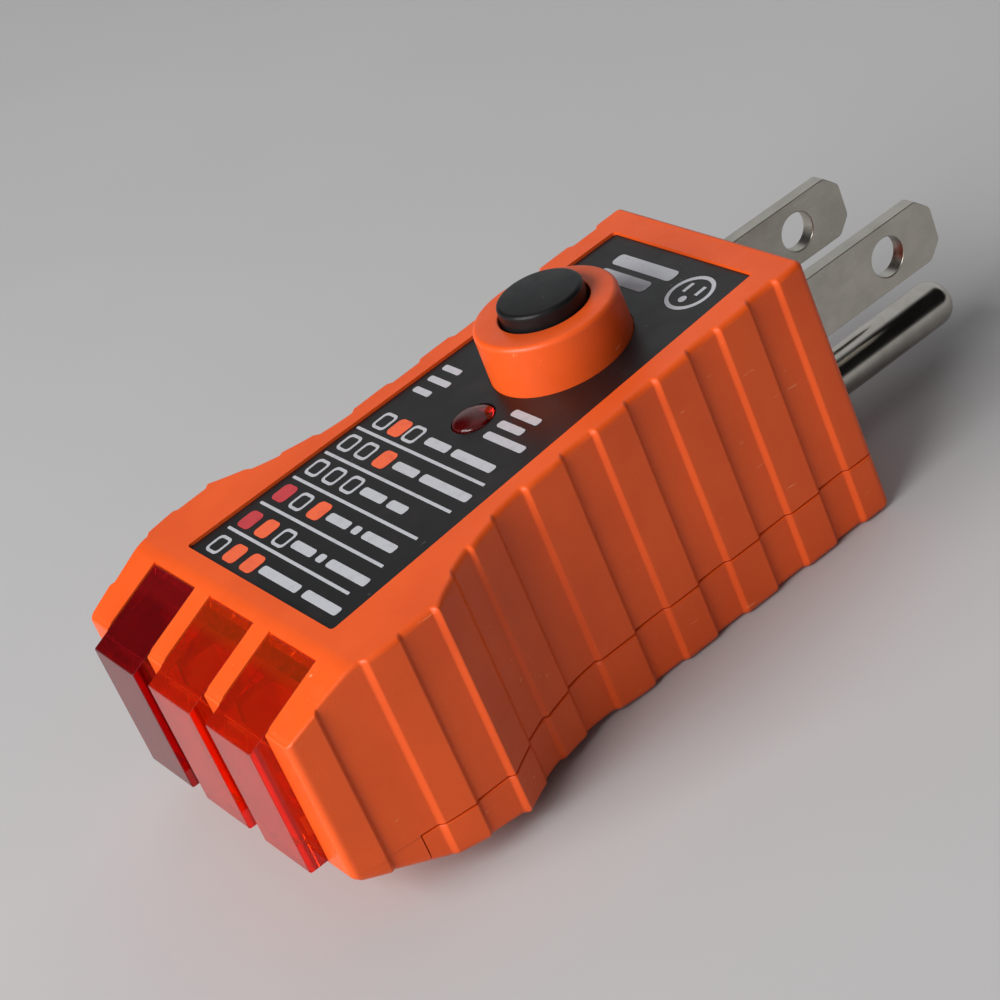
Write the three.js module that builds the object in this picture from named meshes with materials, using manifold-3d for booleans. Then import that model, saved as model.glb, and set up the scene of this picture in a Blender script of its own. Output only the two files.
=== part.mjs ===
// Receptacle tester plug: ribbed two-piece housing, three blades, three lamp lenses
// and a sprung test button over a small circuit board. Millimetres, +Z up,
// +Y towards the prongs, origin at the bottom centre of the bounding box.
import * as THREE from 'three';
import { mergeVertices } from 'three/addons/utils/BufferGeometryUtils.js';
import Module from 'manifold-3d';

const wasm = await Module();
wasm.setup();

// ---- housing plan -------------------------------------------------------
const FACE_Y = 20.45; // flat prong face
const FRONT_Y = -41.55; // housing front wall
const FRONT_HALF = 17.9;
const HEAD_HALF = 19.75;
const HEAD_FRONT_Y = -29.3;
const HEAD_REAR_Y = -25.8;
const NECK_HALF = 14.4;
const NECK_Y = -11.2;
const REAR_HALF = 14.4;
const SIDE_DRAFT = 0.55; // half-width lost from bottom to top, ahead of the neck
const REAR_DRAFT = 1.15; // the same at the prong face
const CORNER = 0.7;
const RIB_DEPTH = 0.6;
const RIB_EDGE = 0.3;
// front and rear edge of each raised band
const RIB_BANDS = [
  [-41.55, -38.35],
  [-32.95, -29.85],
  [-25.95, -22.75],
  [-19.55, -16.45],
  [-12.25, -8.25],
  [-4.35, -0.85],
  [2.85, 6.45],
  [10.25, 13.75],
  [17.35, 20.45],
];

// ---- housing side profile ----------------------------------------------
const LABEL_REAR_Y = 17.2;
const LABEL_REAR_Z = 25.75;
const TOP_SLOPE = 0.058;
const RIM = 0.4; // housing top above the label face
const CREASE_Y = -34.35;
const NOSE_SLOPE = 0.4217;
const FLAT_END_Y = -9.5; // underside is flat behind this line
const KEEL_Y = -33.5;
const KEEL_Z = 2.5;
const CHIN_Z = 5.6;
const TOP_EDGE = 0.5;
const WALL = 1.8;

// ---- parting line ---------------------------------------------------------
const PARTING_Z = 6.0;
const COVER_FRONT_Y = -35.05;
const SEAM = 0.12;
const GAP = 0.15;

// ---- label ------------------------------------------------------------------
const LABEL_FRONT_Y = -32.15;
const LABEL_REAR_HALF = 10.05;
const LABEL_FRONT_HALF = 12.3;
const LABEL_THICK = 0.4;

// ---- lamp lenses -----------------------------------------------------------
const LENS_WIDTH = 7.4;
const LENS_X = [-10.15, 0, 10.15];
const LENS_BACK_Y = -35.05;
const LENS_BACK_Z = 22.65;
const LENS_FRONT_Y = -43.35;
const LENS_FRONT_Z = 19.15;
const LENS_BOTTOM_Z = 6.3;
const LENS_WALL = 2.2;
const LENS_TONGUE = 1.3;

// ---- button, boss and status window -------------------------------------
const BOSS_Y = 2.45;
const BOSS_BASE_R = 6.8;
const BOSS_TOP_R = 6.7;
const BOSS_TOP_Z = 29.5;
const BOSS_ROOT_Z = 23.6;
const BOSS_ROUND = 0.5;
const WELL_R = 4.25;
const WELL_FLOOR_Z = 24.6;
const STEM_HOLE_R = 2.4;
const BUTTON_R = 4.0;
const BUTTON_TOP_Z = 31.05;
const BUTTON_BASE_Z = 26.4;
const BUTTON_ROUND = 0.35;
const STEM_R = 2.2;
const STEM_END_Z = 20.5;
const COLLAR_R = 2.9;
const COLLAR_Z = 21.5;
const COLLAR_H = 0.9;
const STATUS_Y = -7.9;
const STATUS_R = 2.0;

// ---- prongs (two parallel blades and a round ground pin) ---------------
const BLADE_SPACING = 12.7;
const BLADE_T = 1.52;
const BLADE_W = 6.35;
const BLADE_Z = 17.2;
const BLADE_TIP_Y = 39.35;
const BLADE_BACK_Y = 12.6;
const BLADE_CHAMFER = 1.48;
const BLADE_HOLE_R = 1.9;
const BLADE_HOLE_FROM_TIP = 6.05;
const TAB_END_Y = 9.6;
const TAB_W = 3.0;
const PIN_DROP = 11.89;
const PIN_R = 2.3;
const PIN_TIP_Y = 43.35;
const PIN_BACK_Y = 11.0;
const PIN_FLANGE_R = 3.1;
const CARRIER_BACK_Y = 12.9;
const CARRIER_FRONT_Y = 18.1;
const CARRIER_HALF = 10.6;
const CARRIER_TOP_Z = 22.0;
const CARRIER_BOTTOM_Z = 2.2;

// ---- board and switch ----------------------------------------------------
const BOARD_Z = 7.1;
const BOARD_T = 1.6;
const BOARD_TOP = BOARD_Z + BOARD_T;
const BOARD_FRONT_Y = -31.2;
const BOARD_REAR_Y = 7.0;
const BOARD_HALF = 10.6;
const STANDOFF_R = 1.5;
const STANDOFFS = [[-8.5, -20], [8.5, -20], [-8.5, -1.5], [8.5, -1.5]];
const SWITCH_HALF = 4.2;
const SWITCH_TOP_Z = 13.7;
const SWITCH_ROOF = 1.0;
const SWITCH_WALL = 0.9;
const PLUNGER_R = 1.3;
const PLUNGER_TOP_Z = 20.4;
const PLUNGER_END_Z = 11.5;
const SEAT_R = 2.9;
const SEAT_H = 1.4;
const SPRING_R = 2.2;
const SPRING_WIRE_R = 0.24;
const SPRING_TURNS = 4;
const BRIDGE_Z = 11.05;
const TERMINAL_X = 2.3;
const TERMINAL_TOP = 9.4;

// ---- lamps, partition, resistors, leads, screws ---------------------------
const LAMP_R = 1.9;
const LAMP_Z = 14.0;
const LAMP_BACK_Y = -33.2;
const LAMP_FRONT_Y = -37.6;
const LAMP_LEG_Y = -29.6;
const LEG_R = 0.28;
const STATUS_LAMP_R = 1.4;
const PARTITION_Z = [8.9, 17.2];
const PARTITION_Y = [-39.2, -34.4];
const PARTITION_T = 1.2;
const SCREWS = [[-13.6, -25.6], [13.6, -25.6]];
const SCREW_HEAD_R = 2.3;
const SCREW_HEAD_H = 1.3;
const SCREW_SHANK_R = 1.15;
const SCREW_END_Z = 13.5;
const POST_R = 2.3;
const RECESS = 0.55; // screw heads sit above the underside by this

const ROUND = 40;
const SMALL_ROUND = 16;

// ---- colours --------------------------------------------------------------
const material = (color, roughness, metalness = 0, extra = {}) =>
  new THREE.MeshStandardMaterial({ color, roughness, metalness, ...extra });
const ORANGE = material(0xe8561f, 0.42);
const BLACK_LABEL = material(0x16171b, 0.5);
const BLACK_BUTTON = material(0x18191b, 0.45);
const RED_LENS = material(0x7a0710, 0.12, 0, { transparent: true, opacity: 0.75 });
const AMBER_LENS = material(0xc42b08, 0.12, 0, { transparent: true, opacity: 0.75 });
const NICKEL = material(0x8d877c, 0.3, 1);
const BRASS = material(0xb08d4a, 0.35, 1);
const STEEL = material(0x9a9a98, 0.35, 1);
const BOARD_GREEN = material(0x1f5a34, 0.5);
const CARRIER_GREY = material(0x2b2c2e, 0.6);
const WHITE_PLASTIC = material(0xd9d6cc, 0.6);
const RESISTOR_TAN = material(0xc2a273, 0.55);
const RESISTOR_BLUE = material(0x5c86a8, 0.5);
const LAMP_RED = material(0xa01a1a, 0.2);
const LAMP_AMBER = material(0xd08a28, 0.2);
const LEAD_BLACK = material(0x1c1c1e, 0.55);
const LEAD_WHITE = material(0xd8d6d0, 0.55);
const LEAD_GREEN = material(0x2c7a3c, 0.55);

// ---- joining and cutting -----------------------------------------------
function solid(geometry) {
  const bare = geometry.clone();
  bare.deleteAttribute('normal');
  bare.deleteAttribute('uv');
  const merged = mergeVertices(bare, 1e-4);
  return new wasm.Manifold(new wasm.Mesh({
    numProp: 3,
    vertProperties: new Float32Array(merged.attributes.position.array),
    triVerts: new Uint32Array(merged.index.array),
  }));
}

function geometryOf(body) {
  const mesh = body.getMesh();
  const geometry = new THREE.BufferGeometry();
  geometry.setAttribute('position', new THREE.BufferAttribute(new Float32Array(mesh.vertProperties), 3));
  geometry.setIndex(new THREE.BufferAttribute(new Uint32Array(mesh.triVerts), 1));
  geometry.computeVertexNormals();
  return geometry;
}

const join = (first, ...rest) => rest.reduce((sum, g) => sum.add(solid(g)), solid(first));
const cut = (body, ...tools) => tools.reduce((left, g) => left.subtract(solid(g)), body);

// ---- basic shapes ----------------------------------------------------------
function box([x0, x1], [y0, y1], [z0, z1]) {
  const geometry = new THREE.BoxGeometry(x1 - x0, y1 - y0, z1 - z0);
  return geometry.translate((x0 + x1) / 2, (y0 + y1) / 2, (z0 + z1) / 2);
}

function upright(radius, z0, z1, x = 0, y = 0, segments = ROUND) {
  const geometry = new THREE.CylinderGeometry(radius, radius, z1 - z0, segments);
  return geometry.rotateX(Math.PI / 2).translate(x, y, (z0 + z1) / 2);
}

function alongY(radius, y0, y1, x, z, segments = ROUND) {
  const geometry = new THREE.CylinderGeometry(radius, radius, y1 - y0, segments);
  return geometry.translate(x, (y0 + y1) / 2, z);
}

function alongX(radius, x0, x1, y, z, segments = SMALL_ROUND) {
  const geometry = new THREE.CylinderGeometry(radius, radius, x1 - x0, segments);
  return geometry.rotateZ(Math.PI / 2).translate((x0 + x1) / 2, y, z);
}

// profile of [radius, height] pairs turned about the vertical axis
function turned(profile, x, y, segments = ROUND) {
  const points = profile.map(([r, z]) => new THREE.Vector2(r, z));
  return new THREE.LatheGeometry(points, segments).rotateX(Math.PI / 2).translate(x, y, 0);
}

function planPrism(points, z0, z1) {
  const shape = new THREE.Shape(points.map(([x, y]) => new THREE.Vector2(x, y)));
  const geometry = new THREE.ExtrudeGeometry(shape, { depth: z1 - z0, bevelEnabled: false });
  return geometry.translate(0, 0, z0);
}

// polygon of [y, z] pairs carried along X
function sidePrism(points, x0, x1) {
  const shape = new THREE.Shape(points.map(([y, z]) => new THREE.Vector2(y, z)));
  const geometry = new THREE.ExtrudeGeometry(shape, { depth: x1 - x0, bevelEnabled: false });
  const turn = new THREE.Matrix4().makeBasis(
    new THREE.Vector3(0, 1, 0),
    new THREE.Vector3(0, 0, 1),
    new THREE.Vector3(1, 0, 0),
  );
  return geometry.applyMatrix4(turn).translate(x0, 0, 0);
}

// closed skin between a lower and an upper ring of the same number of points
function loft(lower, z0, upper, z1) {
  const count = lower.length;
  const positions = [];
  lower.forEach(([x, y]) => positions.push(x, y, z0));
  upper.forEach(([x, y]) => positions.push(x, y, z1));
  const flat = lower.map(([x, y]) => new THREE.Vector2(x, y));
  const faces = THREE.ShapeUtils.triangulateShape(flat, []);
  const index = [];
  faces.forEach(([a, b, c]) => {
    index.push(a, c, b);
    index.push(a + count, b + count, c + count);
  });
  for (let i = 0; i < count; i += 1) {
    const next = (i + 1) % count;
    index.push(i, next, next + count);
    index.push(i, next + count, i + count);
  }
  const geometry = new THREE.BufferGeometry();
  geometry.setAttribute('position', new THREE.Float32BufferAttribute(positions, 3));
  geometry.setIndex(index);
  return geometry;
}

// ---- housing envelope -----------------------------------------------------
function halfWidth(y) {
  if (y < HEAD_FRONT_Y) {
    const t = (y - FRONT_Y) / (HEAD_FRONT_Y - FRONT_Y);
    return FRONT_HALF + (HEAD_HALF - FRONT_HALF) * t;
  }
  if (y < HEAD_REAR_Y) return HEAD_HALF;
  if (y < NECK_Y) {
    const t = (y - HEAD_REAR_Y) / (NECK_Y - HEAD_REAR_Y);
    return NECK_HALF + (HEAD_HALF - NECK_HALF) * (1 - t) ** 2;
  }
  const t = (y - NECK_Y) / (FACE_Y - NECK_Y);
  return NECK_HALF + (REAR_HALF - NECK_HALF) * t;
}

// half-width lost from bottom to top at one place along the housing
function sideDraft(y) {
  const t = (y - NECK_Y) / (FACE_Y - NECK_Y);
  return SIDE_DRAFT + (REAR_DRAFT - SIDE_DRAFT) * Math.max(t, 0);
}

const onBand = (y) => RIB_BANDS.some(([front, rear]) => y > front - 1e-6 && y < rear + 1e-6);

// stations along one side, from the front wall to the prong face
function sideStations() {
  const stations = new Set();
  RIB_BANDS.forEach(([front, rear]) => {
    stations.add(front);
    stations.add(rear);
    if (front > FRONT_Y) stations.add(front - RIB_EDGE);
    if (rear < FACE_Y) stations.add(rear + RIB_EDGE);
  });
  for (let y = HEAD_REAR_Y; y < NECK_Y; y += 1.2) stations.add(y);
  [HEAD_FRONT_Y, NECK_Y].forEach((y) => stations.add(y));
  return [...stations].sort((a, b) => a - b);
}

// plan outline at the foot, or at the top with the full draft taken off
function planOutline(drafted) {
  const half = (y) => halfWidth(y) - (drafted ? sideDraft(y) : 0);
  const side = [];
  side.push([half(FRONT_Y) - CORNER, FRONT_Y]);
  side.push([half(FRONT_Y) - CORNER * 0.3, FRONT_Y + CORNER * 0.3]);
  sideStations().forEach((y) => {
    if (y < FRONT_Y + CORNER || y > FACE_Y - CORNER) return;
    side.push([half(y) - (onBand(y) ? 0 : RIB_DEPTH), y]);
  });
  side.push([half(FACE_Y), FACE_Y - CORNER]);
  side.push([half(FACE_Y) - CORNER * 0.3, FACE_Y - CORNER * 0.3]);
  side.push([half(FACE_Y) - CORNER, FACE_Y]);
  const mirrored = side.map(([x, y]) => [-x, y]).reverse();
  return [...side, ...mirrored];
}

const topZ = (y) => {
  const rear = LABEL_REAR_Z + RIM + TOP_SLOPE * (Math.max(y, CREASE_Y) - LABEL_REAR_Y);
  return y < CREASE_Y ? rear - NOSE_SLOPE * (CREASE_Y - y) : rear;
};

function sideProfile() {
  const flatZ = 0;
  return [
    [FRONT_Y, CHIN_Z],
    [KEEL_Y, KEEL_Z],
    [FLAT_END_Y, flatZ],
    [FACE_Y - TOP_EDGE, flatZ],
    [FACE_Y, flatZ + TOP_EDGE],
    [FACE_Y, topZ(FACE_Y) - TOP_EDGE],
    [FACE_Y - TOP_EDGE, topZ(FACE_Y)],
    [CREASE_Y, topZ(CREASE_Y)],
    [FRONT_Y + TOP_EDGE, topZ(FRONT_Y + TOP_EDGE)],
    [FRONT_Y, topZ(FRONT_Y) - TOP_EDGE],
  ];
}

function envelope() {
  const low = 0;
  const high = 27;
  const reach = 30;
  const plan = solid(loft(planOutline(false), low, planOutline(true), high));
  return plan.intersect(solid(sidePrism(sideProfile(), -reach, reach)));
}

const coverZone = (grow) => box([-30, 30], [COVER_FRONT_Y - grow, 40], [-10, PARTING_Z + grow]);

// plan of the inner cavity, plain without bands
function innerPlan(y0, y1) {
  const inset = RIB_DEPTH + WALL;
  const side = [];
  for (let i = 0; i <= 30; i += 1) {
    const y = y0 + ((y1 - y0) * i) / 30;
    side.push([halfWidth(y) - sideDraft(y) - inset, y]);
  }
  return [...side, ...side.map(([x, y]) => [-x, y]).reverse()];
}

function housingCavity() {
  const front = FRONT_Y + WALL;
  const rear = FACE_Y - WALL - 0.2;
  const drop = WALL + 0.15;
  const chinAt = (y) => KEEL_Z + ((CHIN_Z - KEEL_Z) * (KEEL_Y - y)) / (KEEL_Y - FRONT_Y);
  const profile = [
    [front, chinAt(front) + WALL - 0.3],
    [COVER_FRONT_Y, chinAt(COVER_FRONT_Y) + WALL],
    [COVER_FRONT_Y, -5],
    [rear, -5],
    [rear, topZ(rear) - drop],
    [CREASE_Y, topZ(CREASE_Y) - drop],
    [front, topZ(front) - drop],
  ];
  const plan = solid(planPrism(innerPlan(front, rear), -6, 30));
  return plan.intersect(solid(sidePrism(profile, -30, 30)));
}

const labelPlane = (y, offset) => LABEL_REAR_Z + TOP_SLOPE * (y - LABEL_REAR_Y) + offset;

// wedge that follows the label plane between two heights
function labelSlab(grow, below, above) {
  const rear = LABEL_REAR_Y + grow;
  const front = LABEL_FRONT_Y - grow;
  const plan = [
    [LABEL_FRONT_HALF + grow, front],
    [LABEL_REAR_HALF + grow, rear],
    [-LABEL_REAR_HALF - grow, rear],
    [-LABEL_FRONT_HALF - grow, front],
  ];
  const profile = [
    [front - 1, labelPlane(front - 1, below)],
    [rear + 1, labelPlane(rear + 1, below)],
    [rear + 1, labelPlane(rear + 1, above)],
    [front - 1, labelPlane(front - 1, above)],
  ];
  return solid(planPrism(plan, 0, 40)).intersect(solid(sidePrism(profile, -20, 20)));
}

function lensWindow(x) {
  const half = LENS_WIDTH / 2 + GAP;
  const profile = [
    [LENS_BACK_Y + GAP, LENS_BOTTOM_Z - GAP],
    [LENS_BACK_Y + GAP, 40],
    [LENS_FRONT_Y - 5, 40],
    [LENS_FRONT_Y - 5, LENS_BOTTOM_Z - GAP],
  ];
  return sidePrism(profile, x - half, x + half);
}

function bossShape() {
  return turned([
    [0, BOSS_ROOT_Z],
    [BOSS_BASE_R, BOSS_ROOT_Z],
    [BOSS_TOP_R + 0.05, BOSS_TOP_Z - BOSS_ROUND],
    [BOSS_TOP_R - BOSS_ROUND * 0.3, BOSS_TOP_Z - BOSS_ROUND * 0.3],
    [BOSS_TOP_R - BOSS_ROUND, BOSS_TOP_Z],
    [0, BOSS_TOP_Z],
  ], 0, BOSS_Y);
}

function wellTool() {
  const lip = 0.15;
  return turned([
    [0, WELL_FLOOR_Z - 5],
    [STEM_HOLE_R, WELL_FLOOR_Z - 5],
    [STEM_HOLE_R, WELL_FLOOR_Z],
    [WELL_R, WELL_FLOOR_Z],
    [WELL_R, BOSS_TOP_Z - lip],
    [WELL_R + lip, BOSS_TOP_Z],
    [WELL_R + lip, BOSS_TOP_Z + 2],
    [0, BOSS_TOP_Z + 2],
  ], 0, BOSS_Y);
}

function bladeSlot(x, clearance) {
  const half = BLADE_T / 2 + clearance;
  const tall = BLADE_W / 2 + clearance;
  return box([x - half, x + half], [0, 50], [BLADE_Z - tall, BLADE_Z + tall]);
}

const pinZ = BLADE_Z - PIN_DROP;

function upperHousing() {
  const posts = SCREWS.map(([x, y]) => upright(POST_R, PARTING_Z, topZ(y) - WALL / 2, x, y, 24));
  let body = cut(envelope(), coverZone(0));
  body = body.subtract(housingCavity());
  posts.forEach((post) => { body = body.add(solid(post)); });
  body = body.add(solid(bossShape()));
  body = body.subtract(labelSlab(GAP / 2, -LABEL_THICK - 0.03, 3).subtract(solid(bossShape())));
  body = cut(body, wellTool(), upright(STATUS_R + GAP, 10, 40, 0, STATUS_Y, 24));
  body = cut(body, ...LENS_X.map(lensWindow));
  body = cut(body, ...[-1, 1].map((side) => bladeSlot((side * BLADE_SPACING) / 2, GAP)));
  body = cut(body, alongY(PIN_R + GAP, 10, 50, 0, pinZ));
  return cut(body, ...SCREWS.map(([x, y]) => upright(SCREW_SHANK_R + 0.1, 0, SCREW_END_Z + 1, x, y, 20)));
}

function undersideZ(y) {
  if (y > FLAT_END_Y) return 0;
  return (KEEL_Z * (FLAT_END_Y - y)) / (FLAT_END_Y - KEEL_Y);
}

function lowerCover() {
  const front = COVER_FRONT_Y + SEAM;
  let body = envelope().intersect(solid(box([-30, 30], [front, 40], [-10, PARTING_Z - SEAM])));
  const inner = [
    [front + WALL, undersideZ(front + WALL) + WALL],
    [FLAT_END_Y, WALL],
    [FACE_Y - WALL - 0.2, WALL],
    [FACE_Y - WALL - 0.2, 20],
    [front + WALL, 20],
  ];
  const cavity = solid(planPrism(innerPlan(front + WALL, FACE_Y - WALL - 0.2), -6, 30));
  body = body.subtract(cavity.intersect(solid(sidePrism(inner, -30, 30))));
  STANDOFFS.forEach(([x, y]) => {
    body = body.add(solid(upright(STANDOFF_R, undersideZ(y) + 1, BOARD_Z - 0.1, x, y, 20)));
  });
  SCREWS.forEach(([x, y]) => {
    const base = undersideZ(y);
    const top = PARTING_Z - SEAM;
    body = body.add(solid(upright(POST_R + 0.6, base + 0.9, top, x, y, 24)));
    body = cut(body, upright(SCREW_HEAD_R + GAP, -5, base + RECESS + SCREW_HEAD_H + GAP, x, y, 24));
    body = cut(body, upright(SCREW_SHANK_R + 0.1, -5, 20, x, y, 20));
  });
  return cut(body, alongY(PIN_R + GAP, 10, 50, 0, pinZ));
}

function labelPanel() {
  const body = labelSlab(0, -LABEL_THICK, 0);
  return cut(
    body,
    upright(BOSS_BASE_R + 0.1, 10, 40, 0, BOSS_Y),
    upright(STATUS_R + GAP, 10, 40, 0, STATUS_Y, 24),
  );
}

function lens(x) {
  const inner = LENS_FRONT_Y + LENS_WALL;
  const slopeAt = (y) => LENS_BACK_Z - NOSE_SLOPE * (LENS_BACK_Y - y);
  const profile = [
    [LENS_BACK_Y, LENS_BACK_Z],
    [LENS_FRONT_Y, LENS_FRONT_Z],
    [LENS_FRONT_Y, LENS_BOTTOM_Z],
    [inner, LENS_BOTTOM_Z],
    [inner, slopeAt(inner) - LENS_WALL],
    [LENS_BACK_Y, LENS_BACK_Z - LENS_WALL - 0.8],
    [LENS_BACK_Y + LENS_TONGUE, LENS_BACK_Z - LENS_WALL - 0.8],
    [LENS_BACK_Y + LENS_TONGUE, LENS_BACK_Z - LENS_WALL + 0.3],
    [LENS_BACK_Y, LENS_BACK_Z - LENS_WALL + 0.3],
  ];
  return solid(sidePrism(profile, x - LENS_WIDTH / 2, x + LENS_WIDTH / 2));
}

function buttonCap() {
  return solid(turned([
    [0, STEM_END_Z],
    [STEM_R, STEM_END_Z],
    [STEM_R, COLLAR_Z],
    [COLLAR_R, COLLAR_Z],
    [COLLAR_R, COLLAR_Z + COLLAR_H - 0.2],
    [STEM_R, COLLAR_Z + COLLAR_H],
    [STEM_R, BUTTON_BASE_Z],
    [BUTTON_R, BUTTON_BASE_Z],
    [BUTTON_R, BUTTON_TOP_Z - BUTTON_ROUND],
    [BUTTON_R - BUTTON_ROUND * 0.3, BUTTON_TOP_Z - BUTTON_ROUND * 0.3],
    [BUTTON_R - BUTTON_ROUND, BUTTON_TOP_Z],
    [0, BUTTON_TOP_Z],
  ], 0, BOSS_Y));
}

function switchPlunger() {
  return solid(turned([
    [0, PLUNGER_END_Z],
    [PLUNGER_R, PLUNGER_END_Z],
    [PLUNGER_R, PLUNGER_TOP_Z - SEAT_H],
    [SEAT_R, PLUNGER_TOP_Z - SEAT_H],
    [SEAT_R, PLUNGER_TOP_Z],
    [0, PLUNGER_TOP_Z],
  ], 0, BOSS_Y, 32));
}

function switchHousing() {
  const half = SWITCH_HALF;
  const inner = SWITCH_HALF - SWITCH_WALL;
  const outer = box([-half, half], [BOSS_Y - half, BOSS_Y + half], [BOARD_TOP + 0.05, SWITCH_TOP_Z]);
  const chamberTop = SWITCH_TOP_Z - SWITCH_ROOF;
  const chamber = box([-inner, inner], [BOSS_Y - inner, BOSS_Y + inner], [0, chamberTop]);
  return cut(solid(outer), chamber, upright(PLUNGER_R + 0.15, 0, 30, 0, BOSS_Y, 24));
}

// closed compression coil as one swept body with flat-turned ends
function switchSpring() {
  const low = SWITCH_TOP_Z + SPRING_WIRE_R + 0.05;
  const high = PLUNGER_TOP_Z - SEAT_H - SPRING_WIRE_R - 0.05;
  const steps = SPRING_TURNS * 16;
  const points = [];
  for (let i = 0; i <= steps; i += 1) {
    const t = i / steps;
    const angle = t * SPRING_TURNS * Math.PI * 2;
    const x = SPRING_R * Math.cos(angle);
    const y = SPRING_R * Math.sin(angle);
    points.push(new THREE.Vector3(x, y, low + (high - low) * t));
  }
  const geometry = sweep(points, SPRING_WIRE_R, steps, 6);
  return solid(geometry.translate(0, BOSS_Y, 0));
}

function sweep(points, radius, steps, sides) {
  const curve = new THREE.CatmullRomCurve3(points);
  const circle = [];
  for (let i = 0; i < sides; i += 1) {
    const angle = (i / sides) * Math.PI * 2;
    circle.push(new THREE.Vector2(radius * Math.cos(angle), radius * Math.sin(angle)));
  }
  return new THREE.ExtrudeGeometry(new THREE.Shape(circle), { steps, extrudePath: curve, bevelEnabled: false });
}

function contactBridge() {
  const half = 2.9;
  const width = 1.1;
  const thick = PLUNGER_END_Z - 0.05 - BRIDGE_Z;
  const bar = box([-half, half], [BOSS_Y - width, BOSS_Y + width], [BRIDGE_Z, BRIDGE_Z + thick]);
  const pads = [-1, 1].map((side) => upright(0.7, BRIDGE_Z - 0.15, BRIDGE_Z + 0.1, side * TERMINAL_X, BOSS_Y, 16));
  return join(bar, ...pads);
}

function switchTerminal(side) {
  const x = side * TERMINAL_X;
  const post = upright(0.8, BOARD_TOP + 0.02, TERMINAL_TOP, x, BOSS_Y, 20);
  const leg = upright(0.3, BOARD_Z - 0.8, BOARD_TOP + 0.1, x, BOSS_Y, 12);
  return join(post, leg);
}

function circuitBoard() {
  const board = box([-BOARD_HALF, BOARD_HALF], [BOARD_FRONT_Y, BOARD_REAR_Y], [BOARD_Z, BOARD_TOP]);
  const holes = [-1, 1].map((side) => upright(0.45, 0, 30, side * TERMINAL_X, BOSS_Y, 12));
  return cut(solid(board), ...holes);
}

function lamp(x) {
  const span = LAMP_BACK_Y - LAMP_FRONT_Y;
  const shell = new THREE.LatheGeometry([
    new THREE.Vector2(0, 0),
    new THREE.Vector2(LAMP_R + 0.3, 0),
    new THREE.Vector2(LAMP_R + 0.3, 0.8),
    new THREE.Vector2(LAMP_R, 0.8),
    new THREE.Vector2(LAMP_R, span - LAMP_R),
    new THREE.Vector2(LAMP_R * 0.87, span - LAMP_R * 0.5),
    new THREE.Vector2(LAMP_R * 0.5, span - LAMP_R * 0.13),
    new THREE.Vector2(0, span),
  ], 24);
  shell.rotateX(Math.PI).translate(x, LAMP_BACK_Y, LAMP_Z);
  let body = solid(shell);
  [-1, 1].forEach((side) => {
    const legX = x + side * 1.0;
    body = body.add(solid(alongY(LEG_R, LAMP_BACK_Y - 0.5, LAMP_LEG_Y + LEG_R, legX, LAMP_Z, 10)));
    body = body.add(solid(upright(LEG_R, BOARD_TOP + 0.03, LAMP_Z, legX, LAMP_LEG_Y, 10)));
  });
  return body;
}

function statusLamp() {
  const top = labelPlane(STATUS_Y, -2.3);
  let body = solid(turned([
    [0, top - 6.2],
    [STATUS_LAMP_R + 0.3, top - 6.2],
    [STATUS_LAMP_R + 0.3, top - 5.4],
    [STATUS_LAMP_R, top - 5.4],
    [STATUS_LAMP_R, top - STATUS_LAMP_R],
    [STATUS_LAMP_R * 0.87, top - STATUS_LAMP_R * 0.5],
    [STATUS_LAMP_R * 0.5, top - STATUS_LAMP_R * 0.13],
    [0, top],
  ], 0, STATUS_Y, 24));
  [-1, 1].forEach((side) => {
    body = body.add(solid(upright(LEG_R, BOARD_TOP + 0.03, top - 6, side * 0.9, STATUS_Y, 10)));
  });
  return body;
}

function statusWindow() {
  const base = labelPlane(STATUS_Y, -2.0);
  const rim = labelPlane(STATUS_Y, 0);
  return solid(turned([
    [0, base],
    [STATUS_R, base],
    [STATUS_R, rim - 0.1],
    [STATUS_R * 0.87, rim + 0.2],
    [STATUS_R * 0.6, rim + 0.42],
    [STATUS_R * 0.3, rim + 0.53],
    [0, rim + 0.56],
  ], 0, STATUS_Y, 32));
}

function lampPartition() {
  const [front, rear] = PARTITION_Y;
  const half = 14.3;
  let body = solid(box([-half, half], [rear - PARTITION_T, rear], PARTITION_Z));
  [-1, 1].forEach((side) => {
    const x = (side * (LENS_X[2] - LENS_X[1])) / 2;
    body = body.add(solid(box([x - 0.6, x + 0.6], [front, rear], PARTITION_Z)));
  });
  return cut(body, ...LENS_X.map((x) => alongY(LAMP_R + 0.2, -50, 0, x, LAMP_Z, 24)));
}

// blade seen from the side as [y, z] pairs, then given its thickness
function blade(side) {
  const x = (side * BLADE_SPACING) / 2;
  const half = BLADE_W / 2;
  const tab = TAB_W / 2;
  const outline = [
    [TAB_END_Y, BLADE_Z - tab],
    [BLADE_BACK_Y, BLADE_Z - tab],
    [BLADE_BACK_Y, BLADE_Z - half],
    [BLADE_TIP_Y - BLADE_CHAMFER, BLADE_Z - half],
    [BLADE_TIP_Y, BLADE_Z - half + BLADE_CHAMFER],
    [BLADE_TIP_Y, BLADE_Z + half - BLADE_CHAMFER],
    [BLADE_TIP_Y - BLADE_CHAMFER, BLADE_Z + half],
    [BLADE_BACK_Y, BLADE_Z + half],
    [BLADE_BACK_Y, BLADE_Z + tab],
    [TAB_END_Y, BLADE_Z + tab],
  ];
  const plate = solid(sidePrism(outline, x - BLADE_T / 2, x + BLADE_T / 2));
  const holeY = BLADE_TIP_Y - BLADE_HOLE_FROM_TIP;
  return cut(plate, alongX(BLADE_HOLE_R, x - 3, x + 3, holeY, BLADE_Z, 36));
}

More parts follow.
